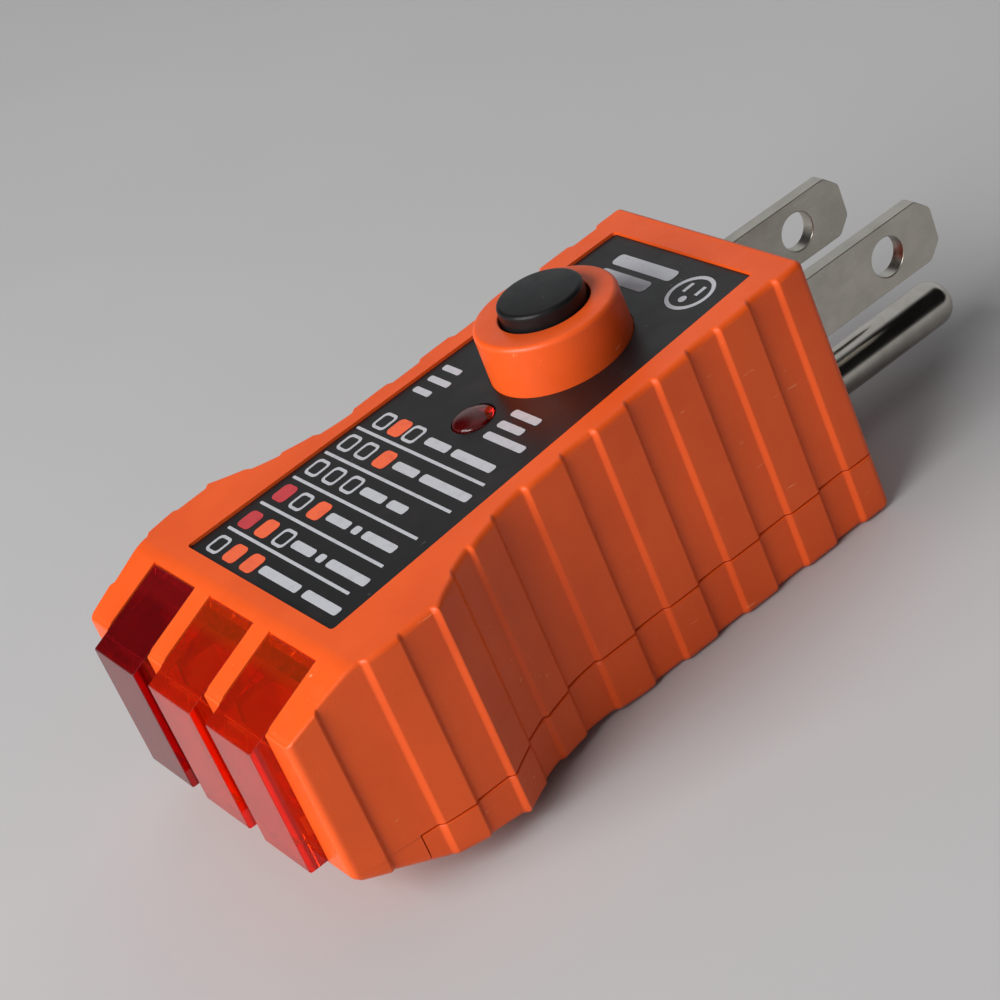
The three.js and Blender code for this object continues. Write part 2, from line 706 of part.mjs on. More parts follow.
function groundPin() {
  const length = PIN_TIP_Y - PIN_BACK_Y;
  const profile = [
    [0, 0],
    [PIN_FLANGE_R, 0],
    [PIN_FLANGE_R, 1.6],
    [PIN_R, 1.6],
    [PIN_R, length - PIN_R],
  ];
  for (let i = 1; i <= 6; i += 1) {
    const angle = (i / 6) * (Math.PI / 2);
    profile.push([i === 6 ? 0 : PIN_R * Math.cos(angle), length - PIN_R + PIN_R * Math.sin(angle)]);
  }
  const points = profile.map(([r, y]) => new THREE.Vector2(r, y));
  return solid(new THREE.LatheGeometry(points, 36).translate(0, PIN_BACK_Y, pinZ));
}

function prongCarrier() {
  const yRange = [CARRIER_BACK_Y, CARRIER_FRONT_Y];
  const block = box([-CARRIER_HALF, CARRIER_HALF], yRange, [BLADE_Z - 5, CARRIER_TOP_Z]);
  const stem = box([-4.6, 4.6], yRange, [CARRIER_BOTTOM_Z, BLADE_Z - 4]);
  const slots = [-1, 1].map((side) => bladeSlot((side * BLADE_SPACING) / 2, 0.1));
  return cut(join(block, stem), ...slots, alongY(PIN_R + 0.1, 5, 50, 0, pinZ, 36));
}

// axial part lying across the board, with both ends bent down to it
function axialPart(x, y, bodyLength, bodyRadius, span) {
  const z = BOARD_TOP + bodyRadius + 0.3;
  const barrel = alongX(bodyRadius, x - bodyLength / 2, x + bodyLength / 2, y, z, 20);
  const wire = alongX(LEG_R, x - span / 2, x + span / 2, y, z, 10);
  const legs = [-1, 1].map((side) => upright(LEG_R, BOARD_TOP + 0.03, z, x + (side * span) / 2, y, 10));
  return join(barrel, wire, ...legs);
}

function lead(points) {
  return solid(sweep(points.map((p) => new THREE.Vector3(...p)), 0.7, 24, 8));
}

function coverScrew(x, y) {
  const seat = undersideZ(y) + RECESS;
  const shape = solid(turned([
    [0, seat],
    [SCREW_HEAD_R - 0.3, seat],
    [SCREW_HEAD_R, seat + 0.3],
    [SCREW_HEAD_R, seat + SCREW_HEAD_H],
    [SCREW_SHANK_R, seat + SCREW_HEAD_H],
    [SCREW_SHANK_R, SCREW_END_Z - 0.8],
    [0, SCREW_END_Z],
  ], x, y, 24));
  const long = 1.3;
  const thin = 0.28;
  const deep = [seat - 1, seat + 0.7];
  return cut(
    shape,
    box([x - long, x + long], [y - thin, y + thin], deep),
    box([x - thin, x + thin], [y - long, y + long], deep),
  );
}

// ---- assembly ---------------------------------------------------------------
const tester = new THREE.Group();
tester.name = 'outlet_tester';

function place(name, body, look) {
  const mesh = new THREE.Mesh(geometryOf(body), look);
  mesh.name = name;
  tester.add(mesh);
}

place('upper_housing', upperHousing(), ORANGE);
place('lower_cover', lowerCover(), ORANGE);
place('label_panel', labelPanel(), BLACK_LABEL);
place('lens_red', lens(LENS_X[0]), RED_LENS);
place('lens_amber_centre', lens(LENS_X[1]), AMBER_LENS);
place('lens_amber_side', lens(LENS_X[2]), AMBER_LENS);
place('status_window', statusWindow(), RED_LENS);
place('button_cap', buttonCap(), BLACK_BUTTON);
place('switch_plunger', switchPlunger(), WHITE_PLASTIC);
place('switch_spring', switchSpring(), STEEL);
place('switch_housing', switchHousing(), CARRIER_GREY);
place('contact_bridge', contactBridge(), BRASS);
place('switch_terminal_left', switchTerminal(-1), BRASS);
place('switch_terminal_right', switchTerminal(1), BRASS);
place('circuit_board', circuitBoard(), BOARD_GREEN);
place('lamp_red', lamp(LENS_X[0]), LAMP_RED);
place('lamp_amber_centre', lamp(LENS_X[1]), LAMP_AMBER);
place('lamp_amber_side', lamp(LENS_X[2]), LAMP_AMBER);
place('status_lamp', statusLamp(), LAMP_RED);
place('lamp_partition', lampPartition(), WHITE_PLASTIC);
place('blade_neutral', blade(-1), NICKEL);
place('blade_hot', blade(1), NICKEL);
place('ground_pin', groundPin(), NICKEL);
place('prong_carrier', prongCarrier(), CARRIER_GREY);
place('test_resistor', axialPart(0, -14.2, 9, 2.1, 13), RESISTOR_TAN);
[-25.4, -22.4, -19.4].forEach((y, i) => {
  place(`dropping_resistor_${i + 1}`, axialPart(-3.2, y, 6, 1.15, 9.4), RESISTOR_BLUE);
});
place('diode_one', axialPart(6.4, -24.6, 3.6, 0.95, 6), BLACK_BUTTON);
place('diode_two', axialPart(6.4, -20.6, 3.6, 0.95, 6), BLACK_BUTTON);

const bladeX = BLADE_SPACING / 2;
const boardLand = BOARD_TOP + 0.35;
place('lead_neutral', lead([
  [-bladeX, TAB_END_Y - 0.5, BLADE_Z],
  [-bladeX - 0.8, 7.4, BLADE_Z - 0.6],
  [-8.2, 5.4, 13],
  [-8.2, 5.0, boardLand],
]), LEAD_WHITE);
place('lead_hot', lead([
  [bladeX, TAB_END_Y - 0.5, BLADE_Z],
  [bladeX + 0.8, 7.4, BLADE_Z - 0.6],
  [8.2, 5.4, 13],
  [8.2, 5.0, boardLand],
]), LEAD_BLACK);
place('lead_ground', lead([
  [0, PIN_BACK_Y - 0.4, pinZ],
  [-0.6, 9.4, pinZ - 0.6],
  [-4.8, 6.8, pinZ - 1.6],
  [-6.6, 3.2, pinZ + 0.4],
  [-6.6, 2.6, BOARD_Z - 0.5],
]), LEAD_GREEN);
SCREWS.forEach(([x, y], i) => place(`cover_screw_${i + 1}`, coverScrew(x, y), STEEL));

export default tester;
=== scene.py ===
"""Looks of the outlet tester plug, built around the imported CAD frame.

Shapes are worked out in millimetres in the row frame and turned into metres as each mesh is finished.
+Y points at the prongs, +Z is up, and +X is the side of the housing that the camera sees.
"""
import math

import bmesh
import bpy
from mathutils import Matrix, Vector


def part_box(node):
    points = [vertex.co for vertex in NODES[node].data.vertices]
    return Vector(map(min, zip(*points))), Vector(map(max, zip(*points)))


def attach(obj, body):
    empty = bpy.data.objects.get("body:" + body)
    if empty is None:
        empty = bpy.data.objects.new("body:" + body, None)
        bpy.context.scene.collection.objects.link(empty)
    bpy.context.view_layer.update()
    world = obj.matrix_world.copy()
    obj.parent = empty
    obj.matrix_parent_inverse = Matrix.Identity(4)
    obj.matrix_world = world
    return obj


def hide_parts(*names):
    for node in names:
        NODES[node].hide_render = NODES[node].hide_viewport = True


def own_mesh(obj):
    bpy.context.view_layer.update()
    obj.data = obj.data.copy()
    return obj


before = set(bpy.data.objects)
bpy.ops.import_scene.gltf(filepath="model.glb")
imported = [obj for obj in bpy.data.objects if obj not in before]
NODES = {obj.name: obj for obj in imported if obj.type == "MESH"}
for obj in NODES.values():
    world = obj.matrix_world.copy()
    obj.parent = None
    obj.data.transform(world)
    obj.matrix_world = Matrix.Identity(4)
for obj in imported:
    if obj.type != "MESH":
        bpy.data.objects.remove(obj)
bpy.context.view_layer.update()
MM = 0.001


def box_mm(node):
    """Lowest and highest corner of a CAD node, in millimetres."""
    low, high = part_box(node)
    return low / MM, high / MM


# ---- housing plan: the half-width along Y, and the raised bands of the grip ----
BODY_LOW, BODY_HIGH = box_mm("upper_housing")
FRONT_Y, FACE_Y = BODY_LOW.y, BODY_HIGH.y
FRONT_HALF, HEAD_HALF, NECK_HALF, REAR_HALF = 17.9, 19.75, 14.4, 14.4
HEAD_FRONT_Y, HEAD_REAR_Y, NECK_Y = -29.3, -25.8, -11.2
SIDE_DRAFT, REAR_DRAFT, DRAFT_HEIGHT = 0.55, 1.15, 27
RIB_DEPTH = 0.42
RIB_EDGE = 0.3
RIB_RISE = 0.6
RIB_BANDS = [
    (-41.55, -38.35), (-32.95, -29.85), (-25.95, -22.75), (-19.55, -16.45), (-12.25, -8.25),
    (-4.35, -0.85), (2.85, 6.45), (10.25, 13.75), (17.35, 20.45),
]
CORNER = 0.75

# ---- housing side profile ----
LABEL_REAR_Y, LABEL_FRONT_Y = 17.2, -32.15
LABEL_REAR_HALF, LABEL_FRONT_HALF = 10.05, 12.3
LABEL_REAR_Z = 25.75
TOP_SLOPE = 0.058
RIM = 0.26
CREASE_Y, CREASE_SPAN, NOSE_SLOPE = -34.35, 0.8, 0.4217
FLAT_END_Y, KEEL_Y, KEEL_Z, CHIN_Z = -9.5, -33.5, 2.5, 5.6
TOP_ROUND, NOSE_ROUND, BOTTOM_ROUND = 0.6, 0.3, 0.8
# where the top edge starts to change from the nose's radius, and over what length
ROUND_FROM_Y, ROUND_SPAN = -38, 10
WALL = 1.8
REAR_EXTRA = 0.2
# where cutting solids end, clear of the housing: to each side, behind it, over it and under it
PAST_SIDE, PAST_REAR, PAST_TOP, PAST_FOOT = 40, 60, 40, -10
# the same for the solids that cut the hollow and the screw holes, which end nearer
CAVITY_SIDE, CAVITY_FOOT, UNDER_FOOT = 30, -6, -5
PARTING_Z, COVER_FRONT_Y, SEAM, SEAM_LIP = 6.0, -35.05, 0.12, 0.09
GAP = 0.12
LABEL_GAP = 0.04

# ---- boss, well and status window ----
BUTTON_LOW, BUTTON_HIGH = box_mm("button_cap")
BUTTON_R = (BUTTON_HIGH.x - BUTTON_LOW.x) / 2
BOSS_Y = (BUTTON_LOW.y + BUTTON_HIGH.y) / 2
BOSS_BASE_R, BOSS_TOP_R, BOSS_TOP_Z = 6.8, 6.7, 29.5
BOSS_ROOT_Z, WELL_R, WELL_FLOOR_Z, STEM_HOLE_R = 23.6, 4.25, 24.6, 2.4
WINDOW_LOW, WINDOW_HIGH = box_mm("status_window")
STATUS_Y = (WINDOW_LOW.y + WINDOW_HIGH.y) / 2
STATUS_R = (WINDOW_HIGH.x - WINDOW_LOW.x) / 2

PIN_LOW, PIN_HIGH = box_mm("ground_pin")
PIN_FLANGE_R = (PIN_HIGH.x - PIN_LOW.x) / 2
PIN_Z = (PIN_LOW.z + PIN_HIGH.z) / 2
PIN_R = 2.3


# ---- plain geometry helpers ---------------------------------------------------
def smooth_step(t):
    t = min(max(t, 0.0), 1.0)
    return t * t * (3 - 2 * t)


def span(start, end, count):
    """count + 1 evenly spaced values."""
    return [start + (end - start) * i / count for i in range(count + 1)]


def rounded(points, radii, steps=5):
    """A closed outline with its corners turned into arcs. radii is one value or one per corner."""
    if not isinstance(radii, (list, tuple)):
        radii = [radii] * len(points)
    outline = []
    for i, radius in enumerate(radii):
        corner = Vector(points[i])
        if radius <= 0:
            outline.append(tuple(corner))
            continue
        before = (Vector(points[i - 1]) - corner).normalized()
        after = (Vector(points[(i + 1) % len(points)]) - corner).normalized()
        half = before.angle(after) / 2
        centre = corner + (before + after).normalized() * radius / math.sin(half)
        start = corner + before * radius / math.tan(half) - centre
        end = corner + after * radius / math.tan(half) - centre
        first = math.atan2(start.y, start.x)
        turn = (math.atan2(end.y, end.x) - first + math.pi) % (2 * math.pi) - math.pi
        for angle in span(first, first + turn, steps):
            outline.append((centre.x + radius * math.cos(angle), centre.y + radius * math.sin(angle)))
    return outline


def rectangle(x0, x1, y0, y1):
    return [(x0, y0), (x1, y0), (x1, y1), (x0, y1)]


def circle(x, y, radius, segments=48):
    angles = [2 * math.pi * i / segments for i in range(segments)]
    return [(x + radius * math.cos(a), y + radius * math.sin(a)) for a in angles]


AXES = {
    "x": lambda a, b, c: (c, a, b),
    "y": lambda a, b, c: (b, c, a),
    "z": lambda a, b, c: (a, b, c),
}


def prism(outline, axis, low, high):
    """An outline carried along an axis. It is in (y, z) for x, (z, x) for y and (x, y) for z."""
    bm = bmesh.new()
    place = AXES[axis]
    ends = [[bm.verts.new(place(a, b, c)) for a, b in outline] for c in (low, high)]
    bm.faces.new(ends[0])
    bm.faces.new(reversed(ends[1]))
    for i in range(len(outline)):
        j = (i + 1) % len(outline)
        bm.faces.new((ends[0][i], ends[1][i], ends[1][j], ends[0][j]))
    bmesh.ops.recalc_face_normals(bm, faces=bm.faces)
    return bm


def turned(profile, segments=96):
    """A closed body turned about Z from (radius, height) pairs that start and end on the axis."""
    bm = bmesh.new()
    rings = []
    for radius, height in profile:
        if radius < 1e-6:
            rings.append([bm.verts.new((0, 0, height))])
            continue
        rings.append([bm.verts.new((x, y, height)) for x, y in circle(0, 0, radius, segments)])
    for lower, upper in zip(rings, rings[1:]):
        for i in range(segments):
            j = (i + 1) % segments
            corners = [lower[i % len(lower)], lower[j % len(lower)],
                       upper[j % len(upper)], upper[i % len(upper)]]
            unique = list(dict.fromkeys(corners))
            if len(unique) > 2:
                bm.faces.new(unique)
    bmesh.ops.recalc_face_normals(bm, faces=bm.faces)
    return bm


def moved(bm, x=0.0, y=0.0, z=0.0, turn=None):
    matrix = Matrix.Translation((x, y, z)) @ (turn or Matrix.Identity(4))
    bmesh.ops.transform(bm, matrix=matrix, verts=bm.verts)
    return bm


def soften(bm, width, segments=3, angle=30):
    """Rounds every edge that is sharper than the angle."""
    limit = math.radians(angle)
    edges = [e for e in bm.edges if len(e.link_faces) == 2 and e.calc_face_angle() > limit]
    bmesh.ops.bevel(bm, geom=edges, offset=width, segments=segments, profile=0.5,
                    affect="EDGES", clamp_overlap=True)
    return bm


def raw(name, bm):
    """An object in millimetres, for cutting and joining."""
    mesh = bpy.data.meshes.new(name)
    bm.to_mesh(mesh)
    bm.free()
    obj = bpy.data.objects.new(name, mesh)
    bpy.context.scene.collection.objects.link(obj)
    return obj


def combine(obj, operation, *tools):
    """Joins to or cuts from obj each tool in turn: DIFFERENCE, UNION or INTERSECT."""
    for bm in tools:
        tool = raw("tool", bm)
        step = obj.modifiers.new("step", "BOOLEAN")
        step.operation = operation
        step.object = tool
        step.solver = "MANIFOLD"
        with bpy.context.temp_override(object=obj, active_object=obj, selected_objects=[obj]):
            bpy.ops.object.modifier_apply(modifier=step.name)
        bpy.data.objects.remove(tool)
    return obj


def finish_piece(obj, material, body="case", replaced=(), sharp=38):
    """Cleans the mesh, turns it into metres, sets its shading and gives it its body and material."""
    mesh = obj.data
    bm = bmesh.new()
    bm.from_mesh(mesh)
    bmesh.ops.remove_doubles(bm, verts=bm.verts, dist=0.002)
    bmesh.ops.dissolve_degenerate(bm, edges=bm.edges, dist=0.002)
    bmesh.ops.recalc_face_normals(bm, faces=bm.faces)
    bm.to_mesh(mesh)
    bm.free()
    mesh.transform(Matrix.Scale(MM, 4))
    mesh.shade_smooth()
    mesh.set_sharp_from_angle(angle=math.radians(sharp))
    weights = obj.modifiers.new("weights", "WEIGHTED_NORMAL")
    weights.keep_sharp = True
    weights.weight = 80
    with bpy.context.temp_override(object=obj, active_object=obj, selected_objects=[obj]):
        bpy.ops.object.modifier_apply(modifier=weights.name)
    mesh.materials.clear()
    mesh.materials.append(material)
    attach(obj, body)
    if replaced:
        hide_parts(*replaced)
    return obj


# ---- materials ------------------------------------------------------------------
class Shader:
    """A Principled material whose colour, roughness and relief come from noise in the piece's own space."""

    def __init__(self, name, **fixed):
        self.material = bpy.data.materials.new(name)
        self.material.use_nodes = True
        self.tree = self.material.node_tree
        self.shader = self.tree.nodes["Principled BSDF"]
        self.place = self.tree.nodes.new("ShaderNodeTexCoord").outputs["Object"]
        for socket, value in fixed.items():
            self.shader.inputs[socket.replace("_", " ")].default_value = value

    def link(self, output, socket):
        self.tree.links.new(output, socket)

    def noise(self, size_mm, stretch=(1, 1, 1), detail=3.0, distortion=0.0, offset=0.0):
        """Noise whose features are about size_mm across, drawn out along an axis by stretch."""
        mapping = self.tree.nodes.new("ShaderNodeMapping")
        mapping.inputs["Scale"].default_value = [1 / (size_mm * MM * s) for s in stretch]
        mapping.inputs["Location"].default_value = (offset, offset, offset)
        texture = self.tree.nodes.new("ShaderNodeTexNoise")
        texture.inputs["Scale"].default_value = 1.0
        texture.inputs["Detail"].default_value = detail
        texture.inputs["Distortion"].default_value = distortion
        self.link(self.place, mapping.inputs["Vector"])
        self.link(mapping.outputs["Vector"], texture.inputs["Vector"])
        return texture.outputs["Fac"]

    def remap(self, value, low, high, to_low=0.0, to_high=1.0):
        node = self.tree.nodes.new("ShaderNodeMapRange")
        node.inputs["From Min"].default_value = low
        node.inputs["From Max"].default_value = high
        node.inputs["To Min"].default_value = to_low
        node.inputs["To Max"].default_value = to_high
        self.link(value, node.inputs["Value"])
        return node.outputs["Result"]

    def along_y(self, start_mm, end_mm):
        """0 in front of one line across the object and 1 behind another."""
        parts = self.tree.nodes.new("ShaderNodeSeparateXYZ")
        self.link(self.place, parts.inputs[0])
        return self.remap(parts.outputs["Y"], start_mm * MM, end_mm * MM)

    def times(self, a, b):
        node = self.tree.nodes.new("ShaderNodeMath")
        node.operation = "MULTIPLY"
        self.link(a, node.inputs[0])
        self.link(b, node.inputs[1])
        return node.outputs["Value"]

    def mix(self, factor, a, b):
        """Between two colours, each a tuple or an output."""
        node = self.tree.nodes.new("ShaderNodeMix")
        node.data_type = "RGBA"
        self.link(factor, node.inputs["Factor"])
        for name, colour in (("A", a), ("B", b)):
            socket = [s for s in node.inputs if s.name == name and s.type == "RGBA"][0]
            if isinstance(colour, tuple):
                socket.default_value = (*colour, 1)
            else:
                self.link(colour, socket)
        return [s for s in node.outputs if s.type == "RGBA"][0]

    def colour(self, output):
        self.link(output, self.shader.inputs["Base Color"])

    def roughness(self, low, high, size_mm, stretch=(1, 1, 1), offset=3.0):
        value = self.remap(self.noise(size_mm, stretch, offset=offset), 0.3, 0.7, low, high)
        self.link(value, self.shader.inputs["Roughness"])

    def relief(self, height, depth_mm, strength=1.0):
        bump = self.tree.nodes.new("ShaderNodeBump")
        bump.inputs["Strength"].default_value = strength
        bump.inputs["Distance"].default_value = depth_mm * MM
        self.link(height, bump.inputs["Height"])
        self.link(bump.outputs["Normal"], self.shader.inputs["Normal"])


def orange_shell():
    """Moulded ABS: satin, with a fine spark texture and a few pale scuffs on it."""
    m = Shader("orange_abs", IOR=1.5, Specular_IOR_Level=0.35)
    tone = m.remap(m.noise(9, detail=4), 0.35, 0.65)
    base = m.mix(tone, (0.87, 0.108, 0.0138), (0.78, 0.091, 0.0112))
    streak = m.remap(m.noise(0.5, stretch=(1, 5, 1), detail=2, distortion=0.6, offset=7), 0.70, 0.76)
    patch = m.remap(m.noise(6, offset=11), 0.52, 0.62)
    m.colour(m.mix(m.times(streak, patch), base, (0.93, 0.28, 0.12)))
    m.roughness(0.30, 0.44, 1.2)
    m.relief(m.noise(0.24, detail=3), 0.028, 0.45)
    return m.material


def label_black():
    """Satin black panel with handling smudges and specks of dust."""
    m = Shader("label_black", IOR=1.5, Specular_IOR_Level=0.4)
    smudge = m.remap(m.noise(5, detail=4, distortion=0.8), 0.5, 0.72)
    base = m.mix(smudge, (0.0065, 0.0062, 0.0068), (0.0150, 0.0105, 0.0105))
    speck = m.remap(m.noise(0.45, stretch=(1.0, 2.4, 1), detail=2, distortion=1.2, offset=5), 0.745, 0.79)
    patch = m.remap(m.noise(7, offset=2), 0.50, 0.60)
    m.colour(m.mix(m.times(speck, patch), base, (0.22, 0.21, 0.20)))
    m.roughness(0.28, 0.42, 3)
    m.relief(m.noise(0.2, detail=2), 0.008, 0.25)
    return m.material


def printed(name, colour, worn):
    """Screen-printed ink, thin where it has worn."""
    m = Shader(name)
    wear = m.remap(m.noise(0.9, detail=5), 0.50, 0.85)
    m.colour(m.mix(wear, colour, worn))
    m.roughness(0.42, 0.58, 0.8)
    m.relief(m.noise(0.15, detail=2), 0.006, 0.3)
    return m.material


def lens_clear(name, tint, deep, pale=None):
    """Tinted polycarbonate: clear and glossy, with faint flow marks, and, if asked, pale flecks and a back
    end painted lighter, painted light standing in for the lit inner wall seen through the lens.
    """
    m = Shader(name, IOR=1.48, Transmission_Weight=0.82)
    base = m.mix(m.remap(m.noise(3, detail=3, distortion=0.5), 0.35, 0.65), tint, deep)
    if pale:
        fleck = m.remap(m.noise(0.35, stretch=(1, 2, 1), detail=2, distortion=1.2, offset=8), 0.72, 0.78)
        # the pale colour serves the flecks anywhere and the back end, which is painted lighter: painted
        # light for the lit inner wall seen through the lens
        base = m.mix(fleck, m.mix(m.along_y(*PAINTED_LIGHT_SPAN), base, pale), pale)
    m.colour(base)
    m.roughness(0.02, 0.07, 0.7)
    m.relief(m.noise(0.9, detail=3), 0.002, 0.3)
    return m.material


# where the painted lighter back end of a lens starts and is full: painted light for the lit inner wall seen
# through the lens
PAINTED_LIGHT_SPAN = (-37.9, -37.2)


def moulded(name, colour, other, rough=(0.4, 0.55), size=1.5, grain=0.012):
    """A plain moulded or coated part."""
    m = Shader(name)
    m.colour(m.mix(m.remap(m.noise(size, detail=4), 0.35, 0.65), colour, other))
    m.roughness(*rough, size * 0.6)
    m.relief(m.noise(0.18, detail=2), grain, 0.4)
    return m.material


def button_black():
    """Satin black cap with dust on it and rubbed spots."""
    m = Shader("button_black", Specular_IOR_Level=0.2)
    tone = m.remap(m.noise(2.5, detail=4), 0.4, 0.7)
    base = m.mix(tone, (0.0065, 0.0065, 0.0072), (0.0110, 0.0108, 0.0112))
    speck = m.remap(m.noise(0.35, stretch=(1, 2, 1), detail=2, distortion=1.5, offset=9), 0.73, 0.78)
    patch = m.remap(m.noise(3, offset=4), 0.5, 0.6)
    m.colour(m.mix(m.times(speck, patch), base, (0.20, 0.20, 0.19)))
    m.roughness(0.28, 0.38, 1.2)
    m.relief(m.noise(0.2, detail=2), 0.010, 0.3)
    return m.material


def metal(name, colour, other, rough, stretch=(1, 1, 1), size=0.5, depth=0.004):
    """Bare or plated metal with a drawn grain and slight tarnish."""
    m = Shader(name, Metallic=1.0)
    stain = m.remap(m.noise(2.6, detail=5, distortion=0.4), 0.35, 0.7)
    m.colour(m.mix(stain, colour, other))
    m.roughness(*rough, size, stretch)
    m.relief(m.noise(size * 0.5, stretch, detail=4), depth, 0.4)
    return m.material


# ---- housing -----------------------------------------------------------------------
def half_width(y):
    """Half of the housing's width at its foot, over the raised bands."""
    if y < HEAD_FRONT_Y:
        return FRONT_HALF + (HEAD_HALF - FRONT_HALF) * (y - FRONT_Y) / (HEAD_FRONT_Y - FRONT_Y)
    if y < HEAD_REAR_Y:
        return HEAD_HALF
    if y < NECK_Y:
        t = (y - HEAD_REAR_Y) / (NECK_Y - HEAD_REAR_Y)
        return NECK_HALF + (HEAD_HALF - NECK_HALF) * (1 - t) ** 2
    return NECK_HALF + (REAR_HALF - NECK_HALF) * (y - NECK_Y) / (FACE_Y - NECK_Y)


def side_draft(y):
    """How far a side leans in over the full height: a little ahead of the neck, more at the prong face."""
    return SIDE_DRAFT + (REAR_DRAFT - SIDE_DRAFT) * max((y - NECK_Y) / (FACE_Y - NECK_Y), 0)


def groove_depth(y):
    """How far the side lies under the raised bands: 0 on a band and RIB_DEPTH between two."""
    lift = 0.0
    for front, rear in RIB_BANDS:
        rise = 1.0 if front <= FRONT_Y + 0.1 else (y - front + RIB_EDGE / 2) / RIB_RISE + 0.5
        fall = 1.0 if rear >= FACE_Y - 0.1 else (rear + RIB_EDGE / 2 - y) / RIB_RISE + 0.5
        lift = max(lift, min(smooth_step(rise), smooth_step(fall)))
    return RIB_DEPTH * (1 - lift)


def top_z(y):
    """Height of the housing's top, with the crease over the nose drawn round."""
    plain = LABEL_REAR_Z + RIM + TOP_SLOPE * (max(y, CREASE_Y) - LABEL_REAR_Y)
    past = CREASE_Y - y
    if past <= -CREASE_SPAN:
        return plain
    if past >= CREASE_SPAN:
        return plain - NOSE_SLOPE * past
    drop = NOSE_SLOPE * (past + CREASE_SPAN) ** 2 / (4 * CREASE_SPAN)
    return plain - drop


def keel_z(y):
    """Height of the underside."""
    if y > FLAT_END_Y:
        return 0.0
    if y > KEEL_Y:
        return KEEL_Z * (FLAT_END_Y - y) / (FLAT_END_Y - KEEL_Y)
    return KEEL_Z + (CHIN_Z - KEEL_Z) * (KEEL_Y - y) / (KEEL_Y - FRONT_Y)


def label_z(y):
    return LABEL_REAR_Z + TOP_SLOPE * (y - LABEL_REAR_Y)


def side_stations():
    """Where the side's outline has a point, from front to rear: close together on each band's edges."""
    ys = {HEAD_FRONT_Y, HEAD_REAR_Y, NECK_Y, KEEL_Y, FLAT_END_Y}
    for front, rear in RIB_BANDS:
        if front > FRONT_Y + 0.1:
            middle = front - RIB_EDGE / 2
            ys.update(span(middle - RIB_RISE / 2, middle + RIB_RISE / 2, 7))
        if rear < FACE_Y - 0.1:
            middle = rear + RIB_EDGE / 2
            ys.update(span(middle - RIB_RISE / 2, middle + RIB_RISE / 2, 7))
    ys.update(span(HEAD_REAR_Y, NECK_Y, 16))
    ys.update(span(CREASE_Y - CREASE_SPAN, CREASE_Y + CREASE_SPAN, 6))
    kept = []
    for y in sorted(ys):
        if FRONT_Y + CORNER < y < FACE_Y - CORNER and (not kept or y - kept[-1] > 0.04):
            kept.append(y)
    return kept


def plan_points(ribs, inset):
    """One side of the plan from front to rear, as (x, y, inward x, inward y)."""
    side = []
    steps = 5
    for angle in span(-math.pi / 2, 0, steps):
        c, s = math.cos(angle), math.sin(angle)
        x = half_width(FRONT_Y + CORNER) - inset - CORNER + CORNER * c
        side.append((x, FRONT_Y + inset + CORNER + CORNER * s, -c, -s))
    for y in side_stations():
        if FRONT_Y + inset + CORNER < y < FACE_Y - inset - CORNER:
            side.append((half_width(y) - inset - (groove_depth(y) if ribs else 0), y, -1, 0))
    for angle in span(0, math.pi / 2, steps):
        c, s = math.cos(angle), math.sin(angle)
        x = half_width(FACE_Y) - inset - CORNER + CORNER * c
        side.append((x, FACE_Y - inset - CORNER + CORNER * s, -c, -s))
    return side


def edge_round(y):
    """Radius of the housing's top edge: soft along the grip and tight round the nose."""
    return NOSE_ROUND + (TOP_ROUND - NOSE_ROUND) * smooth_step((y - ROUND_FROM_Y) / ROUND_SPAN)


def shell_levels(y, groove):
    """(inset, height) from the underside to the top, at one place along the housing."""
    low, high, top_round = keel_z(y), top_z(y), edge_round(y)
    levels = []
    for angle in span(0, math.pi / 2, 3):
        levels.append((BOTTOM_ROUND * (1 - math.sin(angle)), low + BOTTOM_ROUND * (1 - math.cos(angle))))
    if groove:
        rest = max(PARTING_Z - SEAM - SEAM_LIP, low + BOTTOM_ROUND + 0.1)
        lip = SEAM_LIP if y > COVER_FRONT_Y else 0.0
        for depth, rise in ((0, 0), (lip, SEAM_LIP), (lip, SEAM_LIP + SEAM), (0, 2 * SEAM_LIP + SEAM)):
            levels.append((depth, rest + rise))
        levels.append((0, (rest + high) / 2))
    for angle in span(0, math.pi / 2, 6):
        levels.append((top_round * (1 - math.cos(angle)), high - top_round * (1 - math.sin(angle))))
    return levels


def housing_body():
    """The whole outside of the housing as one closed skin."""
    side = plan_points(True, 0.0)
    columns = []
    for x, y, dx, dy in side:
        column = []
        lean = side_draft(y) / DRAFT_HEIGHT
        for inset, z in shell_levels(y, True):
            column.append((x + dx * inset - lean * z, y + dy * inset, z))
        columns.append(column)
    mirrored = [[(-x, y, z) for x, y, z in column] for column in reversed(columns)]
    bm = bmesh.new()
    ring = [[bm.verts.new(point) for point in column] for column in columns + mirrored]
    count = len(ring)
    for i in range(count):
        here, there = ring[i], ring[(i + 1) % count]
        for k in range(len(here) - 1):
            bm.faces.new((here[k], there[k], there[k + 1], here[k + 1]))
    caps = []
    for i in range(len(side) - 1):
        a, b, c, d = ring[i], ring[i + 1], ring[count - 2 - i], ring[count - 1 - i]
        caps.append(bm.faces.new((a[0], d[0], c[0], b[0])))
        caps.append(bm.faces.new((a[-1], b[-1], c[-1], d[-1])))
    bmesh.ops.recalc_face_normals(bm, faces=bm.faces)
    edges = list(dict.fromkeys(e for f in caps for e in f.edges))
    bmesh.ops.dissolve_limit(bm, angle_limit=math.radians(0.2), verts=bm.verts, edges=edges,
                             use_dissolve_boundaries=False)
    return bm


